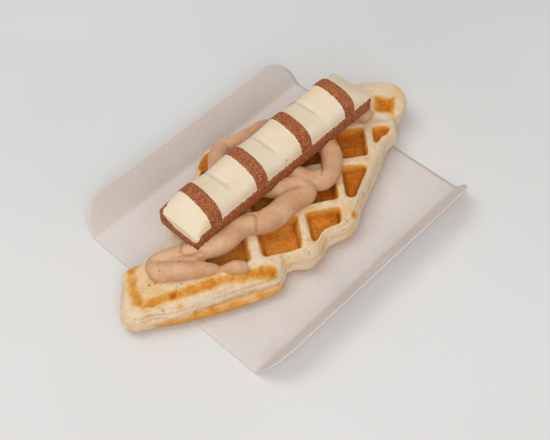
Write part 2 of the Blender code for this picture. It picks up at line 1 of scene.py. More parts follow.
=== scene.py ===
"""Looks for a croffle on a card tray: baked dough, piped hazelnut cream and a wafer bar.

Laid out as an add-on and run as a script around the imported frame. Metres, +Z up.
"""

import math
import random
from types import SimpleNamespace

import bmesh
import bpy
import numpy as np
from bpy.props import FloatProperty, FloatVectorProperty, IntProperty, PointerProperty
from mathutils import Matrix, Vector, noise
from mathutils.bvhtree import BVHTree


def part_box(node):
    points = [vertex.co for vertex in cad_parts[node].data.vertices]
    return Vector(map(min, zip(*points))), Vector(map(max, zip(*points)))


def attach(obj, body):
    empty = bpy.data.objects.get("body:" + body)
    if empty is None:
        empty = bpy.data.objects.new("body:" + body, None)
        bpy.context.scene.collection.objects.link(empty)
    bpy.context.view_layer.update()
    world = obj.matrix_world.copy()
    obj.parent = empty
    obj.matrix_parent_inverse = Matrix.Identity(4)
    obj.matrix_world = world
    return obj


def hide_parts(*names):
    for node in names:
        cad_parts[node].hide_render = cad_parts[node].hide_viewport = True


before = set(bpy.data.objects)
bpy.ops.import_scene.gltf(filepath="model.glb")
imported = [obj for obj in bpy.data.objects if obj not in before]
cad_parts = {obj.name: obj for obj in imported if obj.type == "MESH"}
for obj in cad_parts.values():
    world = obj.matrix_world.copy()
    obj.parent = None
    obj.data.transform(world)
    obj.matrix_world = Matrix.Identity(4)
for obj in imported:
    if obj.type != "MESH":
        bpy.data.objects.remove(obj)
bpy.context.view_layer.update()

bl_info = {
    "name": "Croffle on a card tray",
    "version": (1, 0, 0),
    "blender": (4, 5, 0),
    "location": "View3D > Sidebar > Croffle",
    "description": "Makes the finished surfaces of a croffle, its cream, its wafer bar and its card",
    "category": "Add Mesh",
}

MERGE_DISTANCE = 0.00002
# Moves noise of another seed to another place
SEED_STEP = 7.31

# Card: a flat base and two turned-up flaps
CARD_LENGTH = 0.142
CARD_WIDTH = 0.1063
CARD_THICK = 0.0005
FLAP_HEIGHT = 0.0190
FLAP_TILT = math.radians(55)
FLAP_CORNER = 0.0165
FOLD_RADIUS = 0.0011
CARD_ROOM = 0.0001
CARD_LIFT = 0.00002
SHEET_SHARE = 0.9
BOW_LENGTH = 0.05
BOW_BIAS = 0.4
BOW_OUTWARD = 0.8

# Dough: the same waffle grid and press mark as in the solid
DOUGH_UNDERSIDE = 0.0008
DOUGH_THICK = 0.0172
DOUGH_END_DROP = 0.0042
DOUGH_HALF_LENGTH = 0.095
TIP_LIFT = 0.0048
TIP_LIFT_START = 0.060
GRID_ORIGIN = (-0.0183, -0.0182)
COLUMN_STEP = (0.0214, -0.0117)
ROW_STEP = (0.0130, 0.0182)
GRID_SHEAR = (0.0015, 0.0)
COLUMN_EASE = (-0.0022, 0.0002)
COLUMNS = range(-4, 6)
ROWS = range(-3, 6)
GRID_STEPS = 7
# A cell counts as pressed where its middle lies between these depths
PRESSED_LEAST = 0.0012
PRESSED_MOST = 0.009
PRESS_MARK = (
    (-0.0755, 0.0198), (-0.0787, 0.0155), (-0.0831, 0.0094), (-0.0862, 0.0034),
    (-0.0837, 0.0001), (-0.0795, -0.0024), (-0.0737, -0.0052), (-0.0657, -0.0097),
    (-0.0527, -0.0166), (-0.0402, -0.0242), (-0.0343, -0.0284),
)
# Scorched spots on the pale dough: place, radius, strength
SCORCH_SPOTS = (
    (-0.0737, -0.0052, 0.0019, 0.50), (-0.0362, -0.0278, 0.0036, 0.34),
    (-0.0749, -0.0116, 0.0022, 0.34), (-0.0746, -0.0147, 0.0020, 0.28),
    (-0.0857, 0.0032, 0.0015, 0.32), (-0.0600, -0.0130, 0.0045, 0.12),
    (0.0165, -0.0342, 0.0026, 0.55),
)
# Soft brown blotch on the right tip: middle, half width and its own two directions
TIP_BLOTCH = (0.0779, 0.0002)
TIP_BLOTCH_HALF = 0.0068
TIP_DISH = 0.0009
TIP_ALONG = (0.636, -0.772)
TIP_ACROSS = (0.826, 0.564)
# A way in plan: walls of the pockets that face it get the most painted shade
PHOTO_LEFT = (-0.687, 0.727)
# Small cracks and pores in the left tip, sunk and darkened with painted shade
PORES = (
    (-0.0831, -0.0082), (-0.0812, -0.0074), (-0.0840, -0.0110), (-0.0807, -0.0095),
    (-0.0728, 0.0087), (-0.0741, 0.0054), (-0.0766, 0.0066), (-0.0602, -0.0001), (-0.0680, 0.0152),
)
FAR_HOLLOW = (-0.0100, 0.0386, 0.0200)
FAR_HOLLOW_RADIUS = 0.0062
# Browning of each part, from 0 for pale to 1 for dark brown
HALO_TOAST = 0.50
FLOOR_TOAST = 0.40
BLOTCH_TOAST = 0.86
HOLLOW_TOAST = 0.86
LIP_TOAST = 0.44
UNDERSIDE_TOAST = 0.46
GLOW_TOAST = 0.16
# Painted shade added to the toast in small hollows of the dough
HOLLOW_SHADE = 0.14
# The near left side: a browned lip low down, a ledge and a split between the layers.
# Each pair is where a feature ends and where it is whole, or its half length whole and in all
NEAR_SIDE_Y = 0.004
LIP_TOP = (0.0080, 0.0062)
LIP_RIGHT = (-0.026, -0.034)
LIP_LEFT = (-0.092, -0.080)
LEDGE_HEIGHT = 0.0076
LEDGE_MIDDLE = -0.056
LEDGE_HALF = (0.022, 0.030)
SPLIT_HEIGHT = 0.01183
SPLIT_SLOPE = 0.03
SPLIT_MIDDLE = -0.045
SPLIT_HALF = (0.014, 0.020)
SPLIT_SIDE = (-0.028, -0.045)
# Relief of the dough
LAYER_STEP = 0.0023
LAYER_POWER = 1.6
GAP_DEPTH = 0.0004
LUMP_DEPTH = 0.00050
BLISTER_DEPTH = 0.00030
PIT_DEPTH = 0.00040
PORE_DEPTH = 0.0005
# The line along the dough's middle that pockets look away from
SPINE_END = 0.066
SPINE_Y = 0.004
SPINE_SHARE = 0.8
# Looking outwards from a place in a pocket for the dough that walls it in
WALL_LEAST = 0.0011
LOOK_START = 0.0006
LOOK_SLOPE = 0.14
LOOK_REACH = 0.04

# Cream rope: plan place, height of its middle, radius
CREAM_PATH = (
    (-0.0408, -0.0194, 0.0160, 0.0026), (-0.0440, -0.0168, 0.0166, 0.0035),
    (-0.0473, -0.0141, 0.0166, 0.0030), (-0.0498, -0.0120, 0.0162, 0.0018),
    (-0.0525, -0.0098, 0.0172, 0.0029), (-0.0562, -0.0064, 0.0178, 0.0038),
    (-0.0605, -0.0026, 0.0178, 0.0043), (-0.0660, 0.0022, 0.0178, 0.0046),
    (-0.0705, 0.0076, 0.0174, 0.0043), (-0.0688, 0.0120, 0.0172, 0.0036),
    (-0.0640, 0.0106, 0.0180, 0.0036), (-0.0585, 0.0068, 0.0190, 0.0042),
    (-0.0530, 0.0022, 0.0198, 0.0048),
    (-0.0475, -0.0012, 0.0204, 0.0053), (-0.0400, -0.0040, 0.0206, 0.0055),
    (-0.0310, -0.0040, 0.0206, 0.0053), (-0.0250, -0.0055, 0.0204, 0.0054),
    (-0.0200, -0.0094, 0.0202, 0.0058), (-0.0120, -0.0108, 0.0202, 0.0060),
    (-0.0040, -0.0104, 0.0202, 0.0059), (0.0025, -0.0118, 0.0200, 0.0054),
    (0.0068, -0.0118, 0.0200, 0.0050), (0.0070, -0.0062, 0.0202, 0.0052),
    (-0.0005, -0.0012, 0.0204, 0.0052), (-0.0070, 0.0062, 0.0204, 0.0048),
    (-0.0165, 0.0115, 0.0200, 0.0048), (-0.0165, 0.0205, 0.0196, 0.0052),
    (-0.0080, 0.0320, 0.0184, 0.0054), (0.0005, 0.0382, 0.0168, 0.0050),
    (0.0055, 0.0366, 0.0172, 0.0049), (0.0110, 0.0341, 0.0176, 0.0049),
    (0.0180, 0.0330, 0.0178, 0.0049), (0.0255, 0.0300, 0.0180, 0.0049),
    (0.0240, 0.0210, 0.0198, 0.0052), (0.0180, 0.0110, 0.0202, 0.0052),
    (0.0110, 0.0020, 0.0202, 0.0054), (0.0120, -0.0070, 0.0200, 0.0056),
    (0.0185, -0.0122, 0.0198, 0.0054), (0.0250, -0.0108, 0.0199, 0.0053),
    (0.0310, -0.0060, 0.0200, 0.0055), (0.0345, 0.0010, 0.0202, 0.0053),
    (0.0345, 0.0110, 0.0200, 0.0050), (0.0370, 0.0220, 0.0190, 0.0050),
    (0.0430, 0.0285, 0.0178, 0.0048), (0.0510, 0.0240, 0.0180, 0.0048),
    (0.0560, 0.0130, 0.0184, 0.0048), (0.0630, 0.0030, 0.0180, 0.0046),
    (0.0640, -0.0020, 0.0176, 0.0038),
)
# Where one stretch of the rope lies over the next
CREAM_SEAMS = (
    ((-0.0244, -0.0027), (-0.0223, -0.0050), (-0.0225, -0.0074), (-0.0242, -0.0094),
     (-0.0260, -0.0109), (-0.0269, -0.0118)),
    ((-0.0546, 0.0076), (-0.0580, 0.0054), (-0.0590, 0.0026), (-0.0568, 0.0001), (-0.0527, -0.0025)),
    ((0.0239, -0.0047), (0.0210, -0.0083), (0.0189, -0.0107), (0.0166, -0.0124)),
)
SEAM_DEPTH = 0.0006
SEAM_HALF = 0.0011
SWELL = 0.00030
RIPPLE = 0.00012
CREAM_LOWEST = 0.0125
BAR_PRESS = 0.0002
# Dark specks: on the cream, on the floors of the pockets and on the bar
SPECK_SEED = 7
FINE_SPECK = 0.00022
CREAM_SPECK = 0.00038
POCKET_SPECK = 0.00040
BAR_SPECK = 0.00034
SPECK_COLOUR = (0.10, 0.04, 0.02)
CREAM_SPECKS = (
    (-0.0599, 0.0040), (-0.0611, 0.0029), (-0.0711, 0.0050), (-0.0548, -0.0015),
    (0.0374, 0.0212), (-0.0060, -0.0156), (-0.0017, -0.0160), (-0.0148, -0.0188),
    (-0.0102, -0.0076), (-0.0188, -0.0019), (0.0016, 0.0061), (0.0068, -0.0031),
    (-0.0151, -0.0110),
)
POCKET_SPECKS = (
    (-0.0171, -0.0145), (-0.0174, -0.0167), (-0.0178, -0.0158), (-0.0230, -0.0233),
    (-0.0254, -0.0173), (-0.0138, -0.0121), (-0.0166, -0.0151), (-0.0182, -0.0172),
)
BAR_SPECKS = ((0.0068, 0.0010), (-0.0237, 0.0090))

# Bar: humps of white coating at the stripes, a soft crease between each two
BAR_START = -0.0530
BAR_END = 0.0665
BAR_MIDDLE_Y = 0.0122
BAR_HALF_WIDTH = 0.0130
BAR_BOTTOM = 0.0222
BAR_SHOULDER = 0.0300
LOAF_INSET = 0.0009
BAR_CREST = 0.0086
BAR_VALLEY = 0.0066
BAR_END_CREST = 0.0014
BAR_START_CORNER = 0.0032
BAR_END_CORNER = 0.0016
BAR_TUCK = 0.8
BAR_LOWER_EDGE = 0.0010
# The way round the section, and the share of the half width that an end's rings fill
BAR_GIRTH = 0.0665
BAR_CAP = 0.55
ARCH_POWER = 2.5
ARCH_PARTS = 48
STRIPE_X = (-0.0385, -0.0090, 0.0212, 0.0518)
STRIPE_HALF = 0.0035
STRIPE_FEATHER = 0.0007
STRIPE_PROUD = 0.0003
STRIPE_LEAN = 0.09
PANELS = tuple(zip(STRIPE_X, STRIPE_X[1:]))
CREASE_SHARE = 0.47
CREASE_X = tuple(a + (b - a) * CREASE_SHARE for a, b in PANELS)
CREASE_DEPTH = 0.0007
CREASE_HALF = 0.0016
CREASE_NEAR_Y = -0.0090
CREASE_FADE = 0.0080
CRUMB_SIZE = 0.00058
RAGGED_EDGE = 0.00012
COAT_ROOM = 0.0003
# The white coating hangs lower over the left end, but not at its far corner
END_BAND_DROP = 0.0028
END_BAND = (0.0030, 0.0008)
# Crumbs that wrap onto the top at the far corner of the left end
CORNER_CRUMB_SHARE = 0.66
CORNER_CRUMB = (0.0130, 0.0030)

# Stage: the lights, and the camera as worked out from the photo
LIGHT_AIM = (0.0, 0.0, 0.01)
KEY_PLACE = (-0.25, 0.35, 0.95)
FRONT_PLACE = (-0.50, -0.55, 0.75)
LIGHT_SIZE = 0.70
FLOOR_DROP = 0.0003
CAMERA_PLACE = (-0.22675, -0.21922, 0.40141)
CAMERA_RIGHT = (0.68689, -0.72664, -0.01327)
CAMERA_UP = (0.57975, 0.53684, 0.61294)
CAMERA_AHEAD = (0.43826, 0.42871, -0.79002)
CAMERA_LENS = 69.1
CAMERA_SENSOR = 36.0


# Settings

def colour_setting(name, description, default):
    return FloatVectorProperty(name=name, description=description, subtype="COLOR", size=3,
                               min=0.0, max=1.0, default=default)


def length_setting(name, description, default):
    return FloatProperty(name=name, description=description, default=default, unit="LENGTH")


class CardSettings(bpy.types.PropertyGroup):
    rows: IntProperty(name="Rows", description="Mesh rows across the card", default=96, min=24)
    columns: IntProperty(name="Columns", description="Mesh columns along the card", default=72, min=24)
    waviness: length_setting("Waviness", "How far the flaps bow", 0.0006)
    colour: colour_setting("Card colour", "Bare card", (0.72, 0.665, 0.63))


class DoughSettings(bpy.types.PropertyGroup):
    grain: length_setting("Mesh grain", "Size of a mesh cell on the dough", 0.00066)
    rounding: IntProperty(name="Rounding", description="Passes that soften the pressed edges",
                          default=15, min=0)
    flake: length_setting("Flake depth", "Depth of the flaky layers on the sides", 0.00055)
    white: colour_setting("Palest dough", "Tips and rim", (0.82, 0.68, 0.50))
    pale: colour_setting("Pale dough", "Ribs", (0.84, 0.60, 0.34))
    golden: colour_setting("Golden crust", "Where ribs meet pockets", (0.74, 0.345, 0.055))
    brown: colour_setting("Brown crust", "Floors of the pockets", (0.62, 0.180, 0.010))
    # Dark crust is also the colour of painted shade on pocket walls, in the side's split, under its ledge
    # and in pores
    dark: colour_setting("Dark crust", "Scorched walls and spots", (0.20, 0.055, 0.008))


class CreamSettings(bpy.types.PropertyGroup):
    grain: length_setting("Mesh grain", "Size of a mesh cell on the cream", 0.00052)
    rounding: IntProperty(name="Rounding", description="Passes that soften the rope's seams",
                          default=4, min=0)
    specks: IntProperty(name="Specks", description="Dark nut specks on the cream", default=60, min=0)
    colour: colour_setting("Cream colour", "Hazelnut cream", (0.67, 0.395, 0.22))


class BarSettings(bpy.types.PropertyGroup):
    grain: length_setting("Mesh grain", "Size of a mesh cell on the bar", 0.00036)
    crumb_height: length_setting("Crumb height", "How proud the crumbs stand", 0.00034)
    coating: colour_setting("White coating", "Smooth coating", (0.83, 0.70, 0.52))
    crumb: colour_setting("Cocoa crumb", "Crumb coat", (0.50, 0.140, 0.048))


class StageSettings(bpy.types.PropertyGroup):
    floor_size: length_setting("Floor size", "Side of the floor", 3.0)
    key_power: FloatProperty(name="Key light", description="Power of the soft light above",
                             default=3.4, unit="POWER")
    front_power: FloatProperty(name="Front light", description="Power of the light on the viewer's side",
                               default=4.6, unit="POWER")
    fill: FloatProperty(name="Fill", description="Strength of the soft light all round", default=0.42)
    warmth: colour_setting("Light colour", "Tint of the lights", (1.0, 0.98, 0.96))


# Shader maths

class Wire:
    """A shader socket that Python's own operators work on."""

    def __init__(self, tree, socket=None):
        self.tree = tree
        self.socket = socket

    def node(self, kind, settings=None, sockets=None, output=0):
        """A node of that kind: settings first, then the values or links of its sockets."""
        made = self.tree.nodes.new(kind)
        for name, value in (settings or {}).items():
            if name == "stops":
                for k, (place, colour) in enumerate(value):
                    stops = made.color_ramp.elements
                    stop = stops[k] if k < 2 else stops.new(place)
                    stop.position = place
                    stop.color = (*colour, 1.0)
            else:
                setattr(made, name, value)
        for name, value in (sockets or {}).items():
            if isinstance(value, Wire):
                self.tree.links.new(value.socket, made.inputs[name])
            else:
                made.inputs[name].default_value = value
        return Wire(self.tree, made.outputs[output])

    def maths(self, operation, first, second):
        return self.node("ShaderNodeMath", {"operation": operation}, {0: first, 1: second})

    def __add__(self, other):
        return self.maths("ADD", self, other)

    def __mul__(self, other):
        return self.maths("MULTIPLY", self, other)

    def __sub__(self, other):
        return self.maths("SUBTRACT", self, other)

    def __rsub__(self, other):
        return self.maths("SUBTRACT", other, self)

    __radd__ = __add__
    __rmul__ = __mul__

    def rise(self, low, high, start=0.0, end=1.0):
        """Goes smoothly from start to end while this goes from low to high."""
        return self.node("ShaderNodeMapRange", {"interpolation_type": "SMOOTHSTEP"},
                         {"Value": self, "From Min": low, "From Max": high,
                          "To Min": start, "To Max": end})

    def tint(self, under, over):
        """Colour under, turned to colour over where this is 1."""
        under = (*under, 1.0) if isinstance(under, tuple) else under
        over = (*over, 1.0) if isinstance(over, tuple) else over
        return self.node("ShaderNodeMix", {"data_type": "RGBA"}, {0: self, 6: under, 7: over}, output=2)


class Finish:
    """One procedural material: its nodes read Object coordinates and the piece's attributes."""

    def __init__(self, name, roughness, **constants):
        self.material = bpy.data.materials.new(name)
        self.material.use_nodes = True
        self.tree = self.material.node_tree
        self.shader = self.tree.nodes["Principled BSDF"]
        self.shader.inputs["Roughness"].default_value = roughness
        for key, value in constants.items():
            self.shader.inputs[key.replace("_", " ")].default_value = value
        self.start = Wire(self.tree)
        self.place = self.start.node("ShaderNodeTexCoord", output="Object")

    def attribute(self, name):
        return self.start.node("ShaderNodeAttribute", {"attribute_name": name}, output="Fac")

    def grains(self, size, detail=2.0, roughness=0.5):
        """Cloudy noise whose lumps are about that many metres across, from 0 to 1."""
        return self.start.node("ShaderNodeTexNoise", {}, {
            "Vector": self.place, "Scale": 1.0 / size, "Detail": detail, "Roughness": roughness})

    def cells(self, size, output="Distance"):
        """Cells of that size: the way to the nearest middle, or a colour for each cell."""
        return self.start.node("ShaderNodeTexVoronoi", {}, {
            "Vector": self.place, "Scale": 1.0 / size}, output=output)

    def stretched(self, size, stretch, turn):
        """Noise drawn out along one way in plan."""
        turned = self.start.node("ShaderNodeMapping", {}, {
            "Vector": self.place, "Rotation": (0.0, 0.0, turn), "Scale": stretch})
        return self.start.node("ShaderNodeTexNoise", {}, {
            "Vector": turned, "Scale": 1.0 / size, "Detail": 3.0, "Roughness": 0.6})

    def connect(self, socket, wire):
        self.tree.links.new(wire.socket, self.shader.inputs[socket])

    def relief(self, wire, height, strength=1.0):
        bumped = self.start.node("ShaderNodeBump", {}, {
            "Strength": strength, "Distance": height, "Height": wire})
        self.connect("Normal", bumped)


def scaled(colour, *by):
    """The colour with its channels times those three numbers, or all times the one."""
    return tuple(min(1.0, c * k) for c, k in zip(colour, by if len(by) == 3 else by * 3))


def between(first, second, share):
    return tuple(a + (b - a) * share for a, b in zip(first, second))


def card_finish(colour):
    finish = Finish("card_stock", 0.62)
    fibres = finish.grains(0.0016, 4.0, 0.6)
    clouds = finish.grains(0.035, 2.0)
    shade = (clouds * 0.65 + fibres * 0.35).rise(0.3, 0.7)
    finish.connect("Base Color", shade.tint(scaled(colour, 0.93), scaled(colour, 1.05)))
    finish.connect("Roughness", fibres.rise(0.2, 0.8, 0.55, 0.70))
    finish.relief(fibres, 0.00004)
    return finish.material


def dough_finish(look):
    """Pale dough that goes golden and then brown with toast, and nearly black with char; both layers also
    carry painted shade, and small pores get painted shade.
    """
    finish = Finish("baked_dough", 0.7, Subsurface_Weight=0.03, Subsurface_Scale=0.001,
                    Specular_IOR_Level=0.15)
    white, pale, golden = tuple(look.white), tuple(look.pale), tuple(look.golden)
    brown, dark = tuple(look.brown), tuple(look.dark)
    light_golden = between(pale, golden, 0.5)
    toast_and_shade = finish.attribute("toast_and_shade")
    char_and_shade = finish.attribute("char_and_shade")
    patches = finish.grains(0.006, 3.0, 0.55)
    grain = finish.grains(0.0011, 3.0, 0.65)
    streaks = finish.stretched(0.0030, (1.0, 4.5, 1.0), math.radians(-30))
    browning = toast_and_shade + (patches - 0.5) * 0.75 * toast_and_shade.rise(0.05, 0.5, 0.20, 1.0)
    browning = browning + (grain - 0.5) * 0.60 * toast_and_shade.rise(0.1, 0.6, 0.20, 1.0)
    browning = browning + (streaks - 0.5) * 0.75 * toast_and_shade.rise(0.3, 0.8)
    # The ramp's own first and last stop come first, then those between
    stops = ((0.0, white), (1.0, between(brown, dark, 0.3)), (0.12, pale), (0.25, light_golden),
             (0.43, golden), (0.66, between(golden, brown, 0.5)), (0.88, brown))
    colour = browning.node("ShaderNodeValToRGB", {"stops": stops}, {"Fac": browning})
    # Char darkens towards the dark crust: scorching, and painted shade carried in the same layer
    colour = char_and_shade.rise(0.10, 0.95).tint(colour, dark)
    mottle = finish.grains(0.0032, 3.0, 0.6)
    plain = 1 - toast_and_shade.rise(0.05, 0.35)
    colour = (mottle.rise(0.42, 0.70) * plain * 0.50).tint(colour, light_golden)
    flour = finish.grains(0.0085, 2.0).rise(0.50, 0.75) * plain * 0.35
    colour = flour.tint(colour, scaled(white, 1.0966, 1.1041, 1.12))
    # Painted shade in small pores, which the relief also sinks
    pores = grain.rise(0.60, 0.72) * finish.grains(0.006).rise(0.48, 0.62)
    colour = (pores * 0.40).tint(colour, scaled(golden, 0.72, 0.72, 1.3))
    finish.connect("Base Color", colour)
    finish.connect("Roughness", toast_and_shade.rise(0.2, 1.0, 0.80, 0.58))
    layers = finish.stretched(0.0022, (1.0, 1.0, 4.0), 0.0)
    rough = grain * 0.45 + finish.grains(0.00045, 2.0) * 0.20 + mottle * 0.35
    finish.relief(rough + layers * 0.30 - pores * 0.4, 0.00100)
    return finish.material


def cream_finish(colour):
    """Satin cream with painted shade in its creases and seams, with specks and bits of nut."""
    finish = Finish("hazelnut_cream", 0.42, Subsurface_Weight=0.10, Subsurface_Scale=0.0015)
    clouds = finish.grains(0.009, 2.0)
    fine = finish.grains(0.0009, 3.0, 0.6)
    shade = (clouds * 0.7 + fine * 0.3).rise(0.34, 0.66)
    base = shade.tint(scaled(colour, 0.88, 0.80, 0.72), scaled(colour, 1.07, 1.10, 1.14))
    # Painted shade in the creases between strands and along the seams
    base = (finish.attribute("crease") * 0.60).tint(base, scaled(colour, 0.58, 0.44, 0.32))
    specks = finish.cells(0.0027).rise(0.055, 0.10, 1.0, 0.0) * finish.grains(0.008).rise(0.50, 0.60)
    base = (specks * 0.75).tint(base, (0.09, 0.035, 0.018))
    nuts = finish.cells(0.0017).rise(0.06, 0.16, 1.0, 0.0) * finish.grains(0.006).rise(0.55, 0.66)
    base = (nuts * 0.35).tint(base, scaled(colour, 0.55))
    finish.connect("Base Color", base)
    finish.connect("Roughness", fine.rise(0.2, 0.8, 0.36, 0.52))
    finish.relief(fine * 0.6 + finish.grains(0.0028, 2.0) * 0.4, 0.00022, 0.8)
    return finish.material


def bar_finish(look):
    """Smooth white coating with painted shade along each panel's crease, and cocoa crumbs with painted
    shade between them and a ragged edge where crumb is 1.
    """
    finish = Finish("bar_coat", 0.45, Subsurface_Weight=0.05, Subsurface_Scale=0.001,
                    Specular_IOR_Level=0.3)
    white, cocoa = tuple(look.coating), tuple(look.crumb)
    clouds = finish.grains(0.010, 2.0)
    coating = clouds.rise(0.32, 0.68).tint(scaled(white, 0.99, 0.97, 0.90), scaled(white, 1.02, 1.04, 1.08))
    # Painted shade along the crease of each white panel
    coating = (finish.attribute("fold") * 0.40).tint(coating, scaled(white, 0.66))
    one = finish.start.node("ShaderNodeSeparateColor", {}, {"Color": finish.cells(CRUMB_SIZE, "Color")})
    coat = one.rise(0.0, 0.50).tint(scaled(cocoa, 0.50), cocoa)
    coat = (one.rise(0.60, 0.98) * 0.85).tint(coat, scaled(cocoa, 1.28, 1.9, 2.2))
    # Painted shade between the crumbs
    gaps = finish.cells(CRUMB_SIZE).rise(0.32, 0.66)
    coat = (gaps * 0.45).tint(coat, scaled(cocoa, 0.35))
    ragged = finish.attribute("crumb") + (finish.grains(0.0006, 2.0) - 0.5) * 0.75
    mask = (ragged + (finish.grains(0.0020, 2.0) - 0.5) * 0.35).rise(0.46, 0.56)
    finish.connect("Base Color", mask.tint(coating, coat))
    finish.connect("Roughness", mask.rise(0.0, 1.0, 0.40, 0.80))
    lumps = mask * (1 - finish.cells(CRUMB_SIZE)) * 0.8 + finish.grains(0.0024, 2.0) * 0.06
    finish.relief(lumps, 0.00030, 0.9)
    return finish.material


def speck_finish():
    finish = Finish("nut_speck", 0.55)
    shade = finish.grains(0.0006, 2.0)
    lighter = tuple(c * 2 + 0.02 for c in SPECK_COLOUR)
    finish.connect("Base Color", shade.rise(0.35, 0.65).tint(SPECK_COLOUR, lighter))
    finish.relief(shade, 0.0001)
    return finish.material


def floor_finish():
    finish = Finish("floor", 0.75)
    clouds = finish.grains(0.25, 3.0)
    finish.connect("Base Color", clouds.rise(0.3, 0.7).tint((0.74, 0.74, 0.74), (0.79, 0.79, 0.79)))
    return finish.material


# Shape helpers

def placed(name, data):
    item = bpy.data.objects.new(name, data)
    bpy.context.scene.collection.objects.link(item)
    return item


def mesh_of(name, bm):
    mesh = bpy.data.meshes.new(name)
    bm.to_mesh(mesh)
    bm.free()
    return mesh


def piece_from(name, bm, material, replaces=None):
    """The shape as a finished piece that rides with the part."""
    bmesh.ops.recalc_face_normals(bm, faces=bm.faces)
    mesh = mesh_of(name, bm)
    mesh.shade_smooth()
    mesh.materials.append(material)
    item = placed(name, mesh)
    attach(item, "root")
    if replaces:
        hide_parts(replaces)


def shape_of(item):
    """The object's finished shape; the object is removed."""
    graph = bpy.context.evaluated_depsgraph_get()
    mesh = bpy.data.meshes.new_from_object(item.evaluated_get(graph), depsgraph=graph)
    bm = bmesh.new()
    bm.from_mesh(mesh)
    bpy.data.meshes.remove(mesh)
    bpy.data.objects.remove(item, do_unlink=True)
    return bm


def remeshed(bm, grain, rounding):
    """The shape as one even skin with cells of that size, rounded by that many passes."""
    mesh = mesh_of("raw_shape", bm)
    item = placed("raw_shape", mesh)
    skin = item.modifiers.new("skin", "REMESH")
    skin.mode = "VOXEL"
    skin.voxel_size = grain
    soft = item.modifiers.new("soft", "SMOOTH")
    soft.factor = 0.5
    soft.iterations = rounding
    out = shape_of(item)
    bpy.data.meshes.remove(mesh)
    return out


def places_and_normals(bm):
    bm.normal_update()
    places = np.array([v.co for v in bm.verts])
    normals = np.array([v.normal for v in bm.verts])
    return places, normals


def put_places(bm, places):
    for vert, place in zip(bm.verts, places):
        vert.co = place


def put_layer(bm, name, values):
    layer = bm.verts.layers.float.new(name)
    for vert, value in zip(bm.verts, values):
        vert[layer] = value


def cloud(places, size, seed):
    """Smooth noise from -1 to 1 at each place; size may differ along x, y and z."""
    steps = places / np.array(size) + seed * SEED_STEP
    return np.array([noise.noise(row) for row in steps.tolist()])


def rise(values, low, high):
    """Goes smoothly from 0 to 1 while the values go from low to high."""
    share = np.clip((values - low) / (high - low), 0.0, 1.0)
    return share * share * (3.0 - 2.0 * share)


def close_to(values, middle, whole, end):
    """1 out to whole on either side of the middle, falling to 0 at end."""
    return rise(np.abs(values - middle), end, whole)


def gap_to_nearest(values, middles):
    return np.min([np.abs(values - middle) for middle in middles], axis=0)


def smooth_curve_point(a, b, c, d, t):
    """A Catmull-Rom point between b and c."""
    return 0.5 * (
        2 * b + (c - a) * t + (2 * a - 5 * b + 4 * c - d) * t * t
        + (3 * b - a - 3 * c + d) * t * t * t
    )


def smooth_path(points, parts=8):
    """Points on a smooth curve through the given ones."""
    rows = np.array(points)
    padded = np.vstack([rows[:1], rows, rows[-1:]])
    out = []
    for i in range(len(rows) - 1):
        out += [smooth_curve_point(*padded[i:i + 4], k / parts) for k in range(parts)]
    out.append(rows[-1])
    return np.array(out)


def neighbour_pairs(bm):
    return np.array([[vert.index for vert in edge.verts] for edge in bm.edges])


def evened(pairs, values, passes):
    """The values, averaged that many times with their neighbours'."""
    count = len(values)
    near = np.maximum(np.bincount(pairs.ravel(), minlength=count), 1)
    for _ in range(passes):
        total = np.bincount(pairs[:, 0], weights=values[pairs[:, 1]], minlength=count)
        total = total + np.bincount(pairs[:, 1], weights=values[pairs[:, 0]], minlength=count)
        values = 0.5 * values + 0.5 * total / near
    return values


def hollow_depth(pairs, places, normals, passes):
    """How far each place lies below the skin round it."""
    around = np.column_stack([evened(pairs, places[:, k], passes) for k in range(3)])
    return ((around - places) * normals).sum(axis=1)


def distance_to_path(flat, path):
    """How far each place in plan is from the path."""
    nearest = np.full(len(flat), 1.0)
    for a, b in zip(path, path[1:]):
        along = b - a
        share = np.clip(((flat - a) @ along) / (along @ along), 0.0, 1.0)
        gap = flat - (a + share[:, None] * along)
        nearest = np.minimum(nearest, np.hypot(gap[:, 0], gap[:, 1]))
    return nearest


# Dough

def grid_place(column, row):
    """Place in plan of a column and row of the waffle grid."""
    spots = [GRID_ORIGIN[k] + COLUMN_STEP[k] * column + ROW_STEP[k] * row
             + GRID_SHEAR[k] * column * row + COLUMN_EASE[k] * column * column for k in (0, 1)]
    return np.stack(spots, axis=-1)


def grid_numbers(flat):
    """Column and row of each place in plan, as fractions, found by Newton's steps."""
    column = np.zeros(len(flat))
    row = np.zeros(len(flat))
    for _ in range(GRID_STEPS):
        miss = grid_place(column, row) - flat
        by_column = [COLUMN_STEP[k] + GRID_SHEAR[k] * row + 2 * COLUMN_EASE[k] * column for k in (0, 1)]
        by_row = [ROW_STEP[k] + GRID_SHEAR[k] * column for k in (0, 1)]
        area = by_column[0] * by_row[1] - by_column[1] * by_row[0]
        column = column - (miss[:, 0] * by_row[1] - miss[:, 1] * by_row[0]) / area
        row = row - (by_column[0] * miss[:, 1] - by_column[1] * miss[:, 0]) / area
        column = np.clip(column, COLUMNS[0] - 1, COLUMNS[-1] + 1)
        row = np.clip(row, ROWS[0] - 1, ROWS[-1] + 1)
    return column, row


def underside_at(x):
    share = np.clip((x - TIP_LIFT_START) / (DOUGH_HALF_LENGTH - TIP_LIFT_START), 0.0, None)
    return DOUGH_UNDERSIDE + TIP_LIFT * share * share


def top_at(x):
    return underside_at(x) + DOUGH_THICK - DOUGH_END_DROP * (np.abs(x) / DOUGH_HALF_LENGTH) ** 2


def pressed_cells(solid, above):
    """The cells of the waffle grid that are pressed into that side of the solid."""
    found = set()
    for column in COLUMNS:
        for row in ROWS:
            x, y = grid_place(float(column), float(row))
            start = Vector((x, y, 0.1 if above else -0.1))
            hit = solid.ray_cast(start, Vector((0, 0, -1 if above else 1)))[0]
            if hit is None:
                continue
            sunk = top_at(x) - hit.z if above else hit.z - underside_at(x)
            if PRESSED_LEAST < sunk < PRESSED_MOST:
                found.add((column, row))
    return found


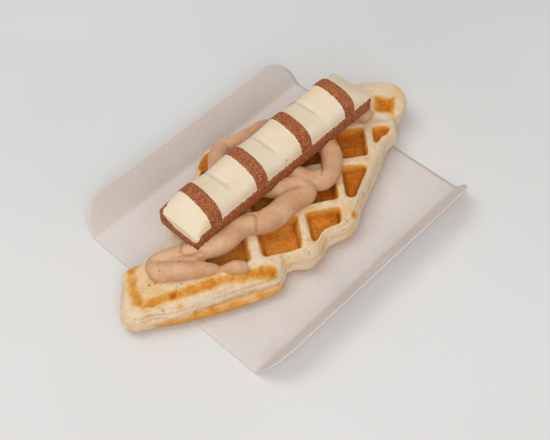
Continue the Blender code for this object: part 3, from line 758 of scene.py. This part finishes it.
def walled_in(solid, places, normals, on_top, wanted):
    """1 where dough stands between a wanted place and the outside."""
    spine_x = np.clip(places[:, 0] * SPINE_SHARE, -SPINE_END, SPINE_END)
    spine_y = SPINE_Y * (1 - np.abs(spine_x) / SPINE_END)
    outward = places[:, :2] - np.column_stack([spine_x, spine_y])
    outward = outward / np.maximum(np.hypot(outward[:, 0], outward[:, 1]), 1e-6)[:, None]
    starts = places + normals * LOOK_START
    walled = np.zeros(len(places))
    for i in np.flatnonzero(wanted):
        slope = -LOOK_SLOPE if on_top[i] else LOOK_SLOPE
        way = Vector((outward[i, 0], outward[i, 1], slope))
        hit = solid.ray_cast(Vector(starts[i]), way, LOOK_REACH)[0]
        walled[i] = hit is not None
    return walled


def dough_skin(look):
    """A rounded skin on the solid dough, and all that its browning and relief depend on."""
    bm = bmesh.new()
    bm.from_mesh(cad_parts["croffle"].data)
    bmesh.ops.remove_doubles(bm, verts=bm.verts, dist=MERGE_DISTANCE)
    solid = BVHTree.FromBMesh(bm)
    above = pressed_cells(solid, True)
    below = pressed_cells(solid, False)
    bm = remeshed(bm, look.grain, look.rounding)
    places, normals = places_and_normals(bm)
    x, y, z = places.T
    top, bottom = top_at(x), underside_at(x)
    column, row = grid_numbers(places[:, :2])
    cells = np.column_stack([np.round(column), np.round(row)]).astype(int)
    on_top = z > (top + bottom) / 2 - 0.001
    in_cell = np.array([(c, r) in (above if up else below) for (c, r), up in zip(cells, on_top)])
    sunk = np.where(on_top, top - z, z - bottom)
    walled = walled_in(solid, places, normals, on_top, in_cell & (sunk > WALL_LEAST))
    pairs = neighbour_pairs(bm)
    return bm, SimpleNamespace(
        places=places, normals=normals, flat=places[:, :2], x=x, y=y, z=z, pairs=pairs, sunk=sunk,
        pocket=evened(pairs, walled, 2), halo=evened(pairs, walled, 12),
        side=np.sqrt(np.clip(1.0 - normals[:, 2] ** 2, 0.0, 1.0)),
        under=rise(-normals[:, 2], 0.35, 0.85),
        on_top=on_top * rise(normals[:, 2], 0.25, 0.7),
        wobble=cloud(places, 0.004, 1.0) * 0.0004,
    )


def pocket_browning(skin):
    """Toast: brown on the floors, golden where they meet the ribs. Char: scorching mixed with painted shade
    deep on the steep walls, most on walls facing one way.
    """
    floors = skin.pocket * rise(skin.sunk + skin.wobble, 0.0012, 0.0046)
    toast_and_shade = HALO_TOAST * rise(skin.halo, 0.0, 0.70) + FLOOR_TOAST * floors
    toast_and_shade = toast_and_shade * (0.74 + 0.30 * rise(skin.x, -0.012, 0.020))
    facing_left = skin.normals[:, :2] @ np.array(PHOTO_LEFT)
    # Painted shade mixed with scorching: deep down on steep walls, more where the wall faces PHOTO_LEFT
    char_and_shade = skin.pocket * rise(skin.sunk, 0.0022, 0.0046) * rise(skin.side, 0.35, 0.80)
    char_and_shade = char_and_shade * (0.24 + 0.40 * cloud(skin.places, 0.006, 5.0) + 0.34 * rise(facing_left, 0.2, 0.7))
    return toast_and_shade, char_and_shade


def tip_blotch(skin):
    """1 inside the rounded square of the blotch on the right tip."""
    off_tip = skin.flat - np.array(TIP_BLOTCH) + skin.wobble[:, None] * 1.6
    far_off = np.maximum(np.abs(off_tip @ np.array(TIP_ALONG)), np.abs(off_tip @ np.array(TIP_ACROSS)))
    return rise(far_off, TIP_BLOTCH_HALF, TIP_BLOTCH_HALF * 0.30) * skin.on_top


def mark_browning(skin, toast_and_shade, blotch):
    """The press mark on the left tip, scorched spots, the blotch and the hollow at the far side."""
    wave = np.column_stack([skin.wobble, -skin.wobble]) * 1.2
    from_mark = distance_to_path(skin.flat + wave, smooth_path(PRESS_MARK))
    from_mark = from_mark + 0.0010 * cloud(skin.places, 0.0022, 16.0)
    stroke = rise(from_mark, 0.0044, 0.0002) * skin.on_top
    patchy = 0.50 + 0.30 * cloud(skin.places, 0.005, 2.0) + 0.16 * cloud(skin.places, 0.0016, 17.0)
    toast_and_shade = np.maximum(toast_and_shade, stroke * patchy)
    for spot_x, spot_y, radius, strength in SCORCH_SPOTS:
        away = np.hypot(skin.x - spot_x, skin.y - spot_y)
        toast_and_shade = toast_and_shade + rise(away, radius * 1.4, radius * 0.2) * strength * skin.on_top
    toast_and_shade = np.maximum(toast_and_shade, blotch * (BLOTCH_TOAST + 0.22 * cloud(skin.places, 0.004, 7.0)))
    from_hollow = np.linalg.norm(skin.places - np.array(FAR_HOLLOW), axis=1)
    hollow = rise(from_hollow, FAR_HOLLOW_RADIUS + 0.0016, FAR_HOLLOW_RADIUS - 0.0002)
    return np.maximum(toast_and_shade, HOLLOW_TOAST * hollow)


def side_browning(skin, toast_and_shade):
    """The browned lower lip along the near left side, the underside, and a faint glow all over."""
    lip = rise(skin.z, *LIP_TOP) * rise(skin.x, *LIP_RIGHT) * rise(skin.x, *LIP_LEFT)
    lip = lip * (skin.y < NEAR_SIDE_Y)
    toast_and_shade = np.maximum(toast_and_shade, lip * (LIP_TOAST + 0.30 * cloud(skin.places, 0.005, 4.0)))
    toast_and_shade = np.maximum(toast_and_shade, skin.under * (UNDERSIDE_TOAST + 0.16 * cloud(skin.places, 0.010, 6.0)))
    glow = (1 - skin.pocket) * rise(cloud(skin.places, 0.011, 8.0), 0.0, 0.5)
    return np.maximum(toast_and_shade, glow * GLOW_TOAST)


def side_gaps(skin):
    """1 in the split and under the ledge along the near left side, where the dough is sunk and given
    painted shade.
    """
    slanted = skin.z + skin.wobble - SPLIT_SLOPE * (skin.x - SPLIT_MIDDLE)
    split = close_to(slanted, SPLIT_HEIGHT, 0.0001, 0.0006) * close_to(skin.x, SPLIT_MIDDLE, *SPLIT_HALF)
    ledge = close_to(skin.z + skin.wobble, LEDGE_HEIGHT, 0.0002, 0.0007)
    ledge = ledge * close_to(skin.x, LEDGE_MIDDLE, *LEDGE_HALF)
    outside = (skin.y < NEAR_SIDE_Y) * (1 - skin.pocket) * rise(skin.side, 0.3, 0.7)
    return np.maximum(split * 0.8, ledge) * outside


def dough_relief(look, skin, toast_and_shade, gaps, blotch):
    """Depth of the flaky layers on the sides, lumps on the ribs, blisters on the floors and pits."""
    height = skin.z / LAYER_STEP + 0.35 * cloud(skin.places, 0.012, 9.0)
    layers = (height - np.floor(height)) ** LAYER_POWER
    split_side = rise(skin.x, *SPLIT_SIDE) * (skin.y < 0.0)
    patchy = rise(cloud(skin.places, (0.012, 0.012, 0.004), 10.0), -0.45, 0.35)
    outer = (1 - skin.pocket) * rise(skin.side, 0.25, 0.80) * (1 - skin.under)
    depth = look.flake * (0.55 + 0.75 * split_side) * patchy * outer * layers
    depth = depth + GAP_DEPTH * gaps + TIP_DISH * blotch
    lumps = 0.5 + 0.5 * cloud(skin.places, 0.0050, 11.0)
    depth = depth + LUMP_DEPTH * lumps * (1 - 0.5 * skin.pocket)
    blisters = 0.5 + 0.5 * cloud(skin.places, 0.0019, 12.0)
    depth = depth + BLISTER_DEPTH * blisters * (0.8 + 0.4 * toast_and_shade)
    pits = rise(cloud(skin.places, 0.0014, 13.0), 0.42, 0.72) * (1 - skin.pocket)
    return depth + PIT_DEPTH * pits * rise(cloud(skin.places, 0.012, 14.0), -0.1, 0.35)


def make_dough(look):
    bm, skin = dough_skin(look)
    toast_and_shade, char_and_shade = pocket_browning(skin)
    blotch = tip_blotch(skin)
    toast_and_shade = side_browning(skin, mark_browning(skin, toast_and_shade, blotch))
    gaps = side_gaps(skin)
    # Painted shade in the split and under the ledge, carried in char
    char_and_shade = np.maximum(char_and_shade, gaps * (0.30 + 0.25 * cloud(skin.places, 0.003, 15.0)))
    depth = dough_relief(look, skin, toast_and_shade, gaps, blotch)
    # Each pore is sunk and darkened with painted shade
    for pore_x, pore_y in PORES:
        hole = rise(np.hypot(skin.x - pore_x, skin.y - pore_y), 0.0013, 0.0002) * skin.on_top
        depth = depth + PORE_DEPTH * hole
        char_and_shade = np.maximum(char_and_shade, 0.60 * hole)
    places = skin.places - skin.normals * depth[:, None]
    # Painted shade in small hollows of the skin, added to the toast layer
    hollow_shade = rise(hollow_depth(skin.pairs, places, skin.normals, 3), 0.0, 0.00012)
    put_places(bm, places)
    put_layer(bm, "toast_and_shade", np.clip(toast_and_shade + HOLLOW_SHADE * hollow_shade, 0.0, 1.2))
    put_layer(bm, "char_and_shade", np.clip(char_and_shade, 0.0, 1.0))
    return bm


# Cream

def rope_shape():
    """A round tube along the cream's path."""
    curve = bpy.data.curves.new("rope", "CURVE")
    curve.dimensions = "3D"
    curve.bevel_depth = 1.0
    curve.bevel_resolution = 6
    curve.use_fill_caps = True
    rope = smooth_path(CREAM_PATH)
    spline = curve.splines.new("POLY")
    spline.points.add(len(rope) - 1)
    for point, (x, y, z, radius) in zip(spline.points, rope):
        point.co = (x, y, z, 1.0)
        point.radius = radius
    bm = shape_of(placed("rope", curve))
    bmesh.ops.remove_doubles(bm, verts=bm.verts, dist=MERGE_DISTANCE)
    return bm


def make_cream(look):
    """The rope with its swells and seams, flat under the bar and resting on the dough."""
    bm = remeshed(rope_shape(), look.grain, look.rounding)
    places, normals = places_and_normals(bm)
    swell = SWELL * cloud(places, 0.0055, 20.0) + RIPPLE * cloud(places, 0.0018, 21.0) - RIPPLE
    from_seam = np.min([distance_to_path(places[:, :2], np.array(seam)) for seam in CREAM_SEAMS], axis=0)
    seam = rise(from_seam, SEAM_HALF, 0.0) * (normals[:, 2] > 0)
    places = places + normals * (swell - SEAM_DEPTH * seam)[:, None]
    x, y, z = places.T
    low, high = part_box("wafer_bar")
    under_bar = (x > low.x) & (x < high.x) & (y > low.y) & (y < high.y)
    pressed = np.where(under_bar, np.minimum(z, BAR_BOTTOM + BAR_PRESS), z)
    places[:, 2] = np.maximum(pressed, CREAM_LOWEST)
    put_places(bm, places)
    # Painted shade where the skin lies below the skin round it, and along the seams
    crease = rise(hollow_depth(neighbour_pairs(bm), places, normals, 8), 0.00002, 0.00025)
    put_layer(bm, "crease", np.maximum(crease, seam ** 2))
    return bm


# Bar

def corner_tuck(from_end, radius):
    """How far a rounded corner draws the side in, that far from the end."""
    gone = max(0.0, radius - from_end)
    return radius - math.sqrt(max(radius ** 2 - gone ** 2, 0.0))


def bump(value, middle, half):
    away = abs(value - middle) / half
    return 0.0 if away >= 1 else (1 - away * away) ** 2


def loaf_height(x):
    """Height of the white loaf above the shoulder: humps at the stripes, a dip between each two."""
    if STRIPE_X[0] < x < STRIPE_X[-1]:
        a, b = next((a, b) for a, b in PANELS if a <= x <= b)
        return BAR_CREST - (BAR_CREST - BAR_VALLEY) * math.sin((x - a) / (b - a) * math.pi) ** 2
    share = min((x - BAR_START) / (STRIPE_X[0] - BAR_START), (BAR_END - x) / (BAR_END - STRIPE_X[-1]))
    return BAR_END_CREST + (BAR_CREST - BAR_END_CREST) * math.sin(share * math.pi / 2)


def crease_depth(x, y):
    """The crease in the middle of a white panel, fading out on the near side."""
    share = min(max((y - CREASE_NEAR_Y) / CREASE_FADE, 0.0), 1.0)
    return CREASE_DEPTH * share * max(bump(x, middle, CREASE_HALF) for middle in CREASE_X)


def bar_section(x, count):
    """That many points round the section at x, from the middle of the underside."""
    tuck = corner_tuck(x - BAR_START, BAR_START_CORNER) + corner_tuck(BAR_END - x, BAR_END_CORNER)
    half = BAR_HALF_WIDTH - tuck * BAR_TUCK
    inner = half - LOAF_INSET
    edge = BAR_LOWER_EDGE
    side = [(0.0, BAR_BOTTOM), (-half + edge, BAR_BOTTOM), (-half + edge * 0.3, BAR_BOTTOM + edge * 0.3),
            (-half, BAR_BOTTOM + edge), (-half, BAR_SHOULDER - LOAF_INSET * 0.6),
            (-half + LOAF_INSET * 0.3, BAR_SHOULDER - LOAF_INSET * 0.1),
            (-half + LOAF_INSET * 0.7, BAR_SHOULDER)]
    height = loaf_height(x)
    arch = []
    for k in range(ARCH_PARTS + 1):
        turn = math.pi * k / ARCH_PARTS
        across = math.cos(turn)
        y = -inner * math.copysign(abs(across) ** (2 / ARCH_POWER), across)
        z = BAR_SHOULDER + height * math.sin(turn) ** (2 / ARCH_POWER)
        z -= crease_depth(x, y) * math.sin(turn)
        arch.append((y, max(z, BAR_SHOULDER)))
    outline = np.array(side + arch + [(-y, z) for y, z in reversed(side)])
    steps = np.hypot(*np.diff(outline, axis=0).T)
    along = np.concatenate([[0.0], np.cumsum(steps)])
    want = np.linspace(0.0, along[-1], count + 1)[:-1]
    return np.column_stack([np.interp(want, along, outline[:, k]) for k in (0, 1)])


def bar_shape(grain):
    """A grid wrapped round the bar, section by section; each end closes with shrinking rings."""
    count = round(BAR_GIRTH / grain)
    spans = round((BAR_END - BAR_START) / grain)
    cap_rings = round(BAR_HALF_WIDTH * BAR_CAP / grain)
    stations = [(BAR_START, k / cap_rings) for k in range(1, cap_rings)]
    stations += [(BAR_START + (BAR_END - BAR_START) * k / spans, 1.0) for k in range(spans + 1)]
    stations += [(BAR_END, k / cap_rings) for k in range(cap_rings - 1, 0, -1)]
    bm = bmesh.new()
    bmesh.ops.create_grid(bm, x_segments=len(stations) - 1, y_segments=count, size=0.5)
    in_order = iter(sorted(bm.verts, key=lambda vert: (round(vert.co.x, 5), vert.co.y)))
    middle = np.array([0.0, (BAR_BOTTOM + BAR_SHOULDER) / 2])
    for x, share in stations:
        ring = middle + (bar_section(x, count) - middle) * share
        for k in range(count + 1):
            y, z = ring[k % count]
            next(in_order).co = (x, BAR_MIDDLE_Y + y, z)
    bmesh.ops.remove_doubles(bm, verts=bm.verts, dist=MERGE_DISTANCE / 2)
    bmesh.ops.holes_fill(bm, edges=[e for e in bm.edges if e.is_boundary], sides=0)
    bmesh.ops.recalc_face_normals(bm, faces=bm.faces)
    for _ in range(3):
        bmesh.ops.smooth_vert(bm, verts=bm.verts, factor=0.5,
                              use_axis_x=True, use_axis_y=True, use_axis_z=True)
    return bm


def crumb_cover(places, ragged):
    """How much of the crumb coat shows at each place, and how much of that is stripe."""
    x, z = places[:, 0], places[:, 2]
    across = places[:, 1] - BAR_MIDDLE_Y
    from_stripe = gap_to_nearest(x - STRIPE_LEAN * across, STRIPE_X)
    stripe = rise(from_stripe + ragged, STRIPE_HALF + STRIPE_FEATHER, STRIPE_HALF - STRIPE_FEATHER)
    far_side = rise(across, 0.0, BAR_HALF_WIDTH * 0.8)
    drop = END_BAND_DROP * (1 - far_side) * rise(x, *(BAR_START + reach for reach in END_BAND))
    corner = rise(x, *(BAR_START + reach for reach in CORNER_CRUMB)) * far_side
    loaf = np.array([loaf_height(place) for place in x])
    band_top = BAR_SHOULDER - drop + CORNER_CRUMB_SHARE * loaf * corner
    return np.maximum(stripe, rise(z + ragged, band_top + 0.0008, band_top - 0.0006)), stripe


def make_bar(look):
    """The bar with knobbly crumbs on its sides and stripes, and smooth white between."""
    bm = bar_shape(look.grain)
    places, normals = places_and_normals(bm)
    crumb, stripe = crumb_cover(places, RAGGED_EDGE * cloud(places, 0.0016, 30.0))
    # Painted shade along the crease of each white panel, fading out on the near side
    fold = rise(gap_to_nearest(places[:, 0], CREASE_X), CREASE_HALF, 0.0) * (1 - crumb)
    fold = fold * rise(places[:, 1] - BAR_MIDDLE_Y, CREASE_NEAR_Y, CREASE_NEAR_Y + CREASE_FADE)
    knobs = 0.5 + 0.5 * cloud(places, 0.00085, 32.0) + 0.25 * cloud(places, 0.0021, 33.0)
    proud = rise(crumb, 0.35, 0.65) * look.crumb_height * np.clip(knobs, 0.0, 1.2)
    proud = proud + (1 - crumb) * 0.00006 * cloud(places, 0.004, 34.0)
    arch_share = np.clip((places[:, 2] - BAR_SHOULDER) / BAR_VALLEY, 0.0, 1.0)
    proud = proud + stripe * STRIPE_PROUD * arch_share
    put_places(bm, places + normals * (proud - COAT_ROOM)[:, None])
    put_layer(bm, "crumb", crumb)
    put_layer(bm, "fold", fold)
    return bm


# Card

def card_half_length(run):
    """Half the card's length at that distance from its middle line, round flap corners taken off."""
    past = abs(run) - (CARD_WIDTH / 2 + FLAP_HEIGHT - FLAP_CORNER)
    share = min(max(past / FLAP_CORNER, 0.0), 1.0)
    return CARD_LENGTH / 2 - FLAP_CORNER * (1 - math.sqrt(max(1 - share * share, 0.0)))


def folded(run):
    """Place and height of the sheet at that distance across it, bent round each fold."""
    side = math.copysign(1.0, run)
    tangent = FOLD_RADIUS * math.tan(FLAP_TILT / 2)
    past = abs(run) - (CARD_WIDTH / 2 - tangent)
    if past <= 0:
        return run, 0.0
    start = CARD_WIDTH / 2 - tangent
    arc = FOLD_RADIUS * FLAP_TILT
    turn = min(past, arc) / FOLD_RADIUS
    y = start + FOLD_RADIUS * math.sin(turn)
    z = FOLD_RADIUS * (1 - math.cos(turn))
    left = max(0.0, past - arc)
    return side * (y + left * math.cos(FLAP_TILT)), z + left * math.sin(FLAP_TILT)


def make_card(look):
    """A flat grid folded and trimmed, its flaps slightly bowed, then given its thickness."""
    bm = bmesh.new()
    bmesh.ops.create_grid(bm, x_segments=look.columns, y_segments=look.rows, size=0.5)
    for vert in bm.verts:
        run = (CARD_WIDTH / 2 + FLAP_HEIGHT - CARD_ROOM) * vert.co.y * 2
        x = vert.co.x * 2 * card_half_length(run)
        y, z = folded(run)
        up = max(0.0, abs(run) - CARD_WIDTH / 2) / FLAP_HEIGHT
        waves = noise.noise(Vector((x / BOW_LENGTH, y / BOW_LENGTH, 1.0))) - BOW_BIAS
        vert.co = (x, y - math.copysign(look.waviness * up * waves * BOW_OUTWARD, y), z)
    bmesh.ops.recalc_face_normals(bm, faces=bm.faces)
    bmesh.ops.solidify(bm, geom=bm.faces[:], thickness=CARD_THICK * SHEET_SHARE)
    lowest = min(v.co.z for v in bm.verts)
    bmesh.ops.translate(bm, vec=(0, 0, CARD_LIFT - lowest), verts=bm.verts)
    return bm


# Specks

def scatter(bm, tree, spots, size, draw):
    """Small flattened bits dropped onto what lies below each spot."""
    for x, y in spots:
        hit, normal = tree.ray_cast(Vector((x, y, 0.1)), Vector((0, 0, -1)))[:2]
        if hit is None:
            continue
        radius = size * draw.uniform(0.6, 1.35)
        turn = Vector((0, 0, 1)).rotation_difference(normal).to_matrix().to_4x4()
        spin = Matrix.Rotation(draw.uniform(0, math.tau), 4, "Z")
        flat = Matrix.Diagonal((1.0, draw.uniform(0.6, 1.0), draw.uniform(0.35, 0.6), 1.0))
        bmesh.ops.create_icosphere(bm, subdivisions=1, radius=radius,
                                   matrix=Matrix.Translation(hit) @ turn @ spin @ flat)


# Operators

class CROFFLE_OT_make_card(bpy.types.Operator):
    """Make the folded card tray"""
    bl_idname = "croffle.make_card"
    bl_label = "Card tray"

    def execute(self, context):
        look = context.scene.croffle_card
        piece_from("card_sheet", make_card(look), card_finish(tuple(look.colour)), "card_tray")
        return {"FINISHED"}


class CROFFLE_OT_make_dough(bpy.types.Operator):
    """Make the baked dough with its waffle grid"""
    bl_idname = "croffle.make_dough"
    bl_label = "Baked dough"

    def execute(self, context):
        look = context.scene.croffle_dough
        piece_from("baked_croffle", make_dough(look), dough_finish(look), "croffle")
        return {"FINISHED"}


class CROFFLE_OT_make_cream(bpy.types.Operator):
    """Make the piped hazelnut cream"""
    bl_idname = "croffle.make_cream"
    bl_label = "Hazelnut cream"

    def execute(self, context):
        look = context.scene.croffle_cream
        piece_from("cream_rope", make_cream(look), cream_finish(tuple(look.colour)),
                   "hazelnut_cream")
        return {"FINISHED"}


class CROFFLE_OT_make_bar(bpy.types.Operator):
    """Make the coated wafer bar with its crumb stripes"""
    bl_idname = "croffle.make_bar"
    bl_label = "Wafer bar"

    def execute(self, context):
        look = context.scene.croffle_bar
        piece_from("coated_bar", make_bar(look), bar_finish(look), "wafer_bar")
        return {"FINISHED"}


class CROFFLE_OT_make_specks(bpy.types.Operator):
    """Scatter nut specks on the cream, in the pockets and on the bar"""
    bl_idname = "croffle.make_specks"
    bl_label = "Specks"

    def execute(self, context):
        draw = random.Random(SPECK_SEED)
        rope = smooth_path(CREAM_PATH)
        fine = []
        for _ in range(context.scene.croffle_cream.specks):
            x, y, _z, radius = rope[draw.randrange(len(rope))]
            fine.append((x + draw.uniform(-0.8, 0.8) * radius, y + draw.uniform(-0.8, 0.8) * radius))
        graph = context.evaluated_depsgraph_get()
        dark = speck_finish()
        for name, under, slot, rows in (
            ("nut_specks", "cream_rope", "cream", ((fine, FINE_SPECK), (CREAM_SPECKS, CREAM_SPECK))),
            ("pocket_specks", "baked_croffle", "crust", ((POCKET_SPECKS, POCKET_SPECK),)),
            ("bar_specks", "coated_bar", "bar", ((BAR_SPECKS, BAR_SPECK),)),
        ):
            tree = BVHTree.FromObject(bpy.data.objects[under], graph)
            bm = bmesh.new()
            for spots, size in rows:
                scatter(bm, tree, spots, size, draw)
            piece_from(name, bm, dark)
        return {"FINISHED"}


class CROFFLE_OT_make_stage(bpy.types.Operator):
    """Make the floor, the soft lights and the camera"""
    bl_idname = "croffle.make_stage"
    bl_label = "Stage"

    def execute(self, context):
        look = context.scene.croffle_stage
        scene = context.scene
        bm = bmesh.new()
        bmesh.ops.create_grid(bm, x_segments=4, y_segments=4, size=look.floor_size / 2)
        bmesh.ops.translate(bm, vec=(0, 0, -FLOOR_DROP), verts=bm.verts)
        mesh = mesh_of("floor", bm)
        mesh.materials.append(floor_finish())
        floor = placed("floor", mesh)
        for name, spot, power in (
            ("key", Vector(KEY_PLACE), look.key_power),
            ("front", Vector(FRONT_PLACE), look.front_power),
        ):
            light = bpy.data.lights.new(name, "AREA")
            light.size = LIGHT_SIZE
            light.energy = power
            light.color = look.warmth
            lamp = placed(name, light)
            lamp.location = spot
            lamp.rotation_mode = "QUATERNION"
            lamp.rotation_quaternion = (Vector(LIGHT_AIM) - spot).to_track_quat("-Z", "Y")
        scene.world = bpy.data.worlds.new("studio")
        scene.world.use_nodes = True
        sky = scene.world.node_tree.nodes["Background"]
        sky.inputs["Color"].default_value = (*look.warmth, 1.0)
        sky.inputs["Strength"].default_value = look.fill
        lens = bpy.data.cameras.new("photo_view")
        lens.lens = CAMERA_LENS
        lens.sensor_width = CAMERA_SENSOR
        lens.clip_start = 0.01
        camera = placed("photo_view", lens)
        turn = Matrix((CAMERA_RIGHT, CAMERA_UP, -Vector(CAMERA_AHEAD))).transposed().to_4x4()
        camera.matrix_world = Matrix.Translation(CAMERA_PLACE) @ turn
        scene.camera = camera
        scene.view_settings.view_transform = "Standard"
        return {"FINISHED"}


class CROFFLE_PT_panel(bpy.types.Panel):
    """Lists the croffle's pieces and their settings"""
    bl_idname = "CROFFLE_PT_panel"
    bl_label = "Croffle"
    bl_space_type = "VIEW_3D"
    bl_region_type = "UI"
    bl_category = "Croffle"

    def draw(self, context):
        for name, settings, operators in PARTS:
            box = self.layout.box()
            for setting in settings.__annotations__:
                box.prop(getattr(context.scene, name), setting)
            for operator in operators:
                box.operator(operator.bl_idname)


PARTS = (
    ("croffle_card", CardSettings, (CROFFLE_OT_make_card,)),
    ("croffle_dough", DoughSettings, (CROFFLE_OT_make_dough,)),
    ("croffle_cream", CreamSettings, (CROFFLE_OT_make_cream,)),
    ("croffle_bar", BarSettings, (CROFFLE_OT_make_bar, CROFFLE_OT_make_specks)),
    ("croffle_stage", StageSettings, (CROFFLE_OT_make_stage,)),
)


def register():
    for name, settings, operators in PARTS:
        bpy.utils.register_class(settings)
        setattr(bpy.types.Scene, name, PointerProperty(type=settings))
        for operator in operators:
            bpy.utils.register_class(operator)
    bpy.utils.register_class(CROFFLE_PT_panel)


def unregister():
    bpy.utils.unregister_class(CROFFLE_PT_panel)
    for name, settings, operators in PARTS:
        for operator in operators:
            bpy.utils.unregister_class(operator)
        delattr(bpy.types.Scene, name)
        bpy.utils.unregister_class(settings)


def main():
    register()
    bpy.ops.croffle.make_card()
    bpy.ops.croffle.make_dough()
    bpy.ops.croffle.make_cream()
    bpy.ops.croffle.make_bar()
    bpy.ops.croffle.make_specks()
    bpy.ops.croffle.make_stage()


if __name__ == "__main__":
    main()
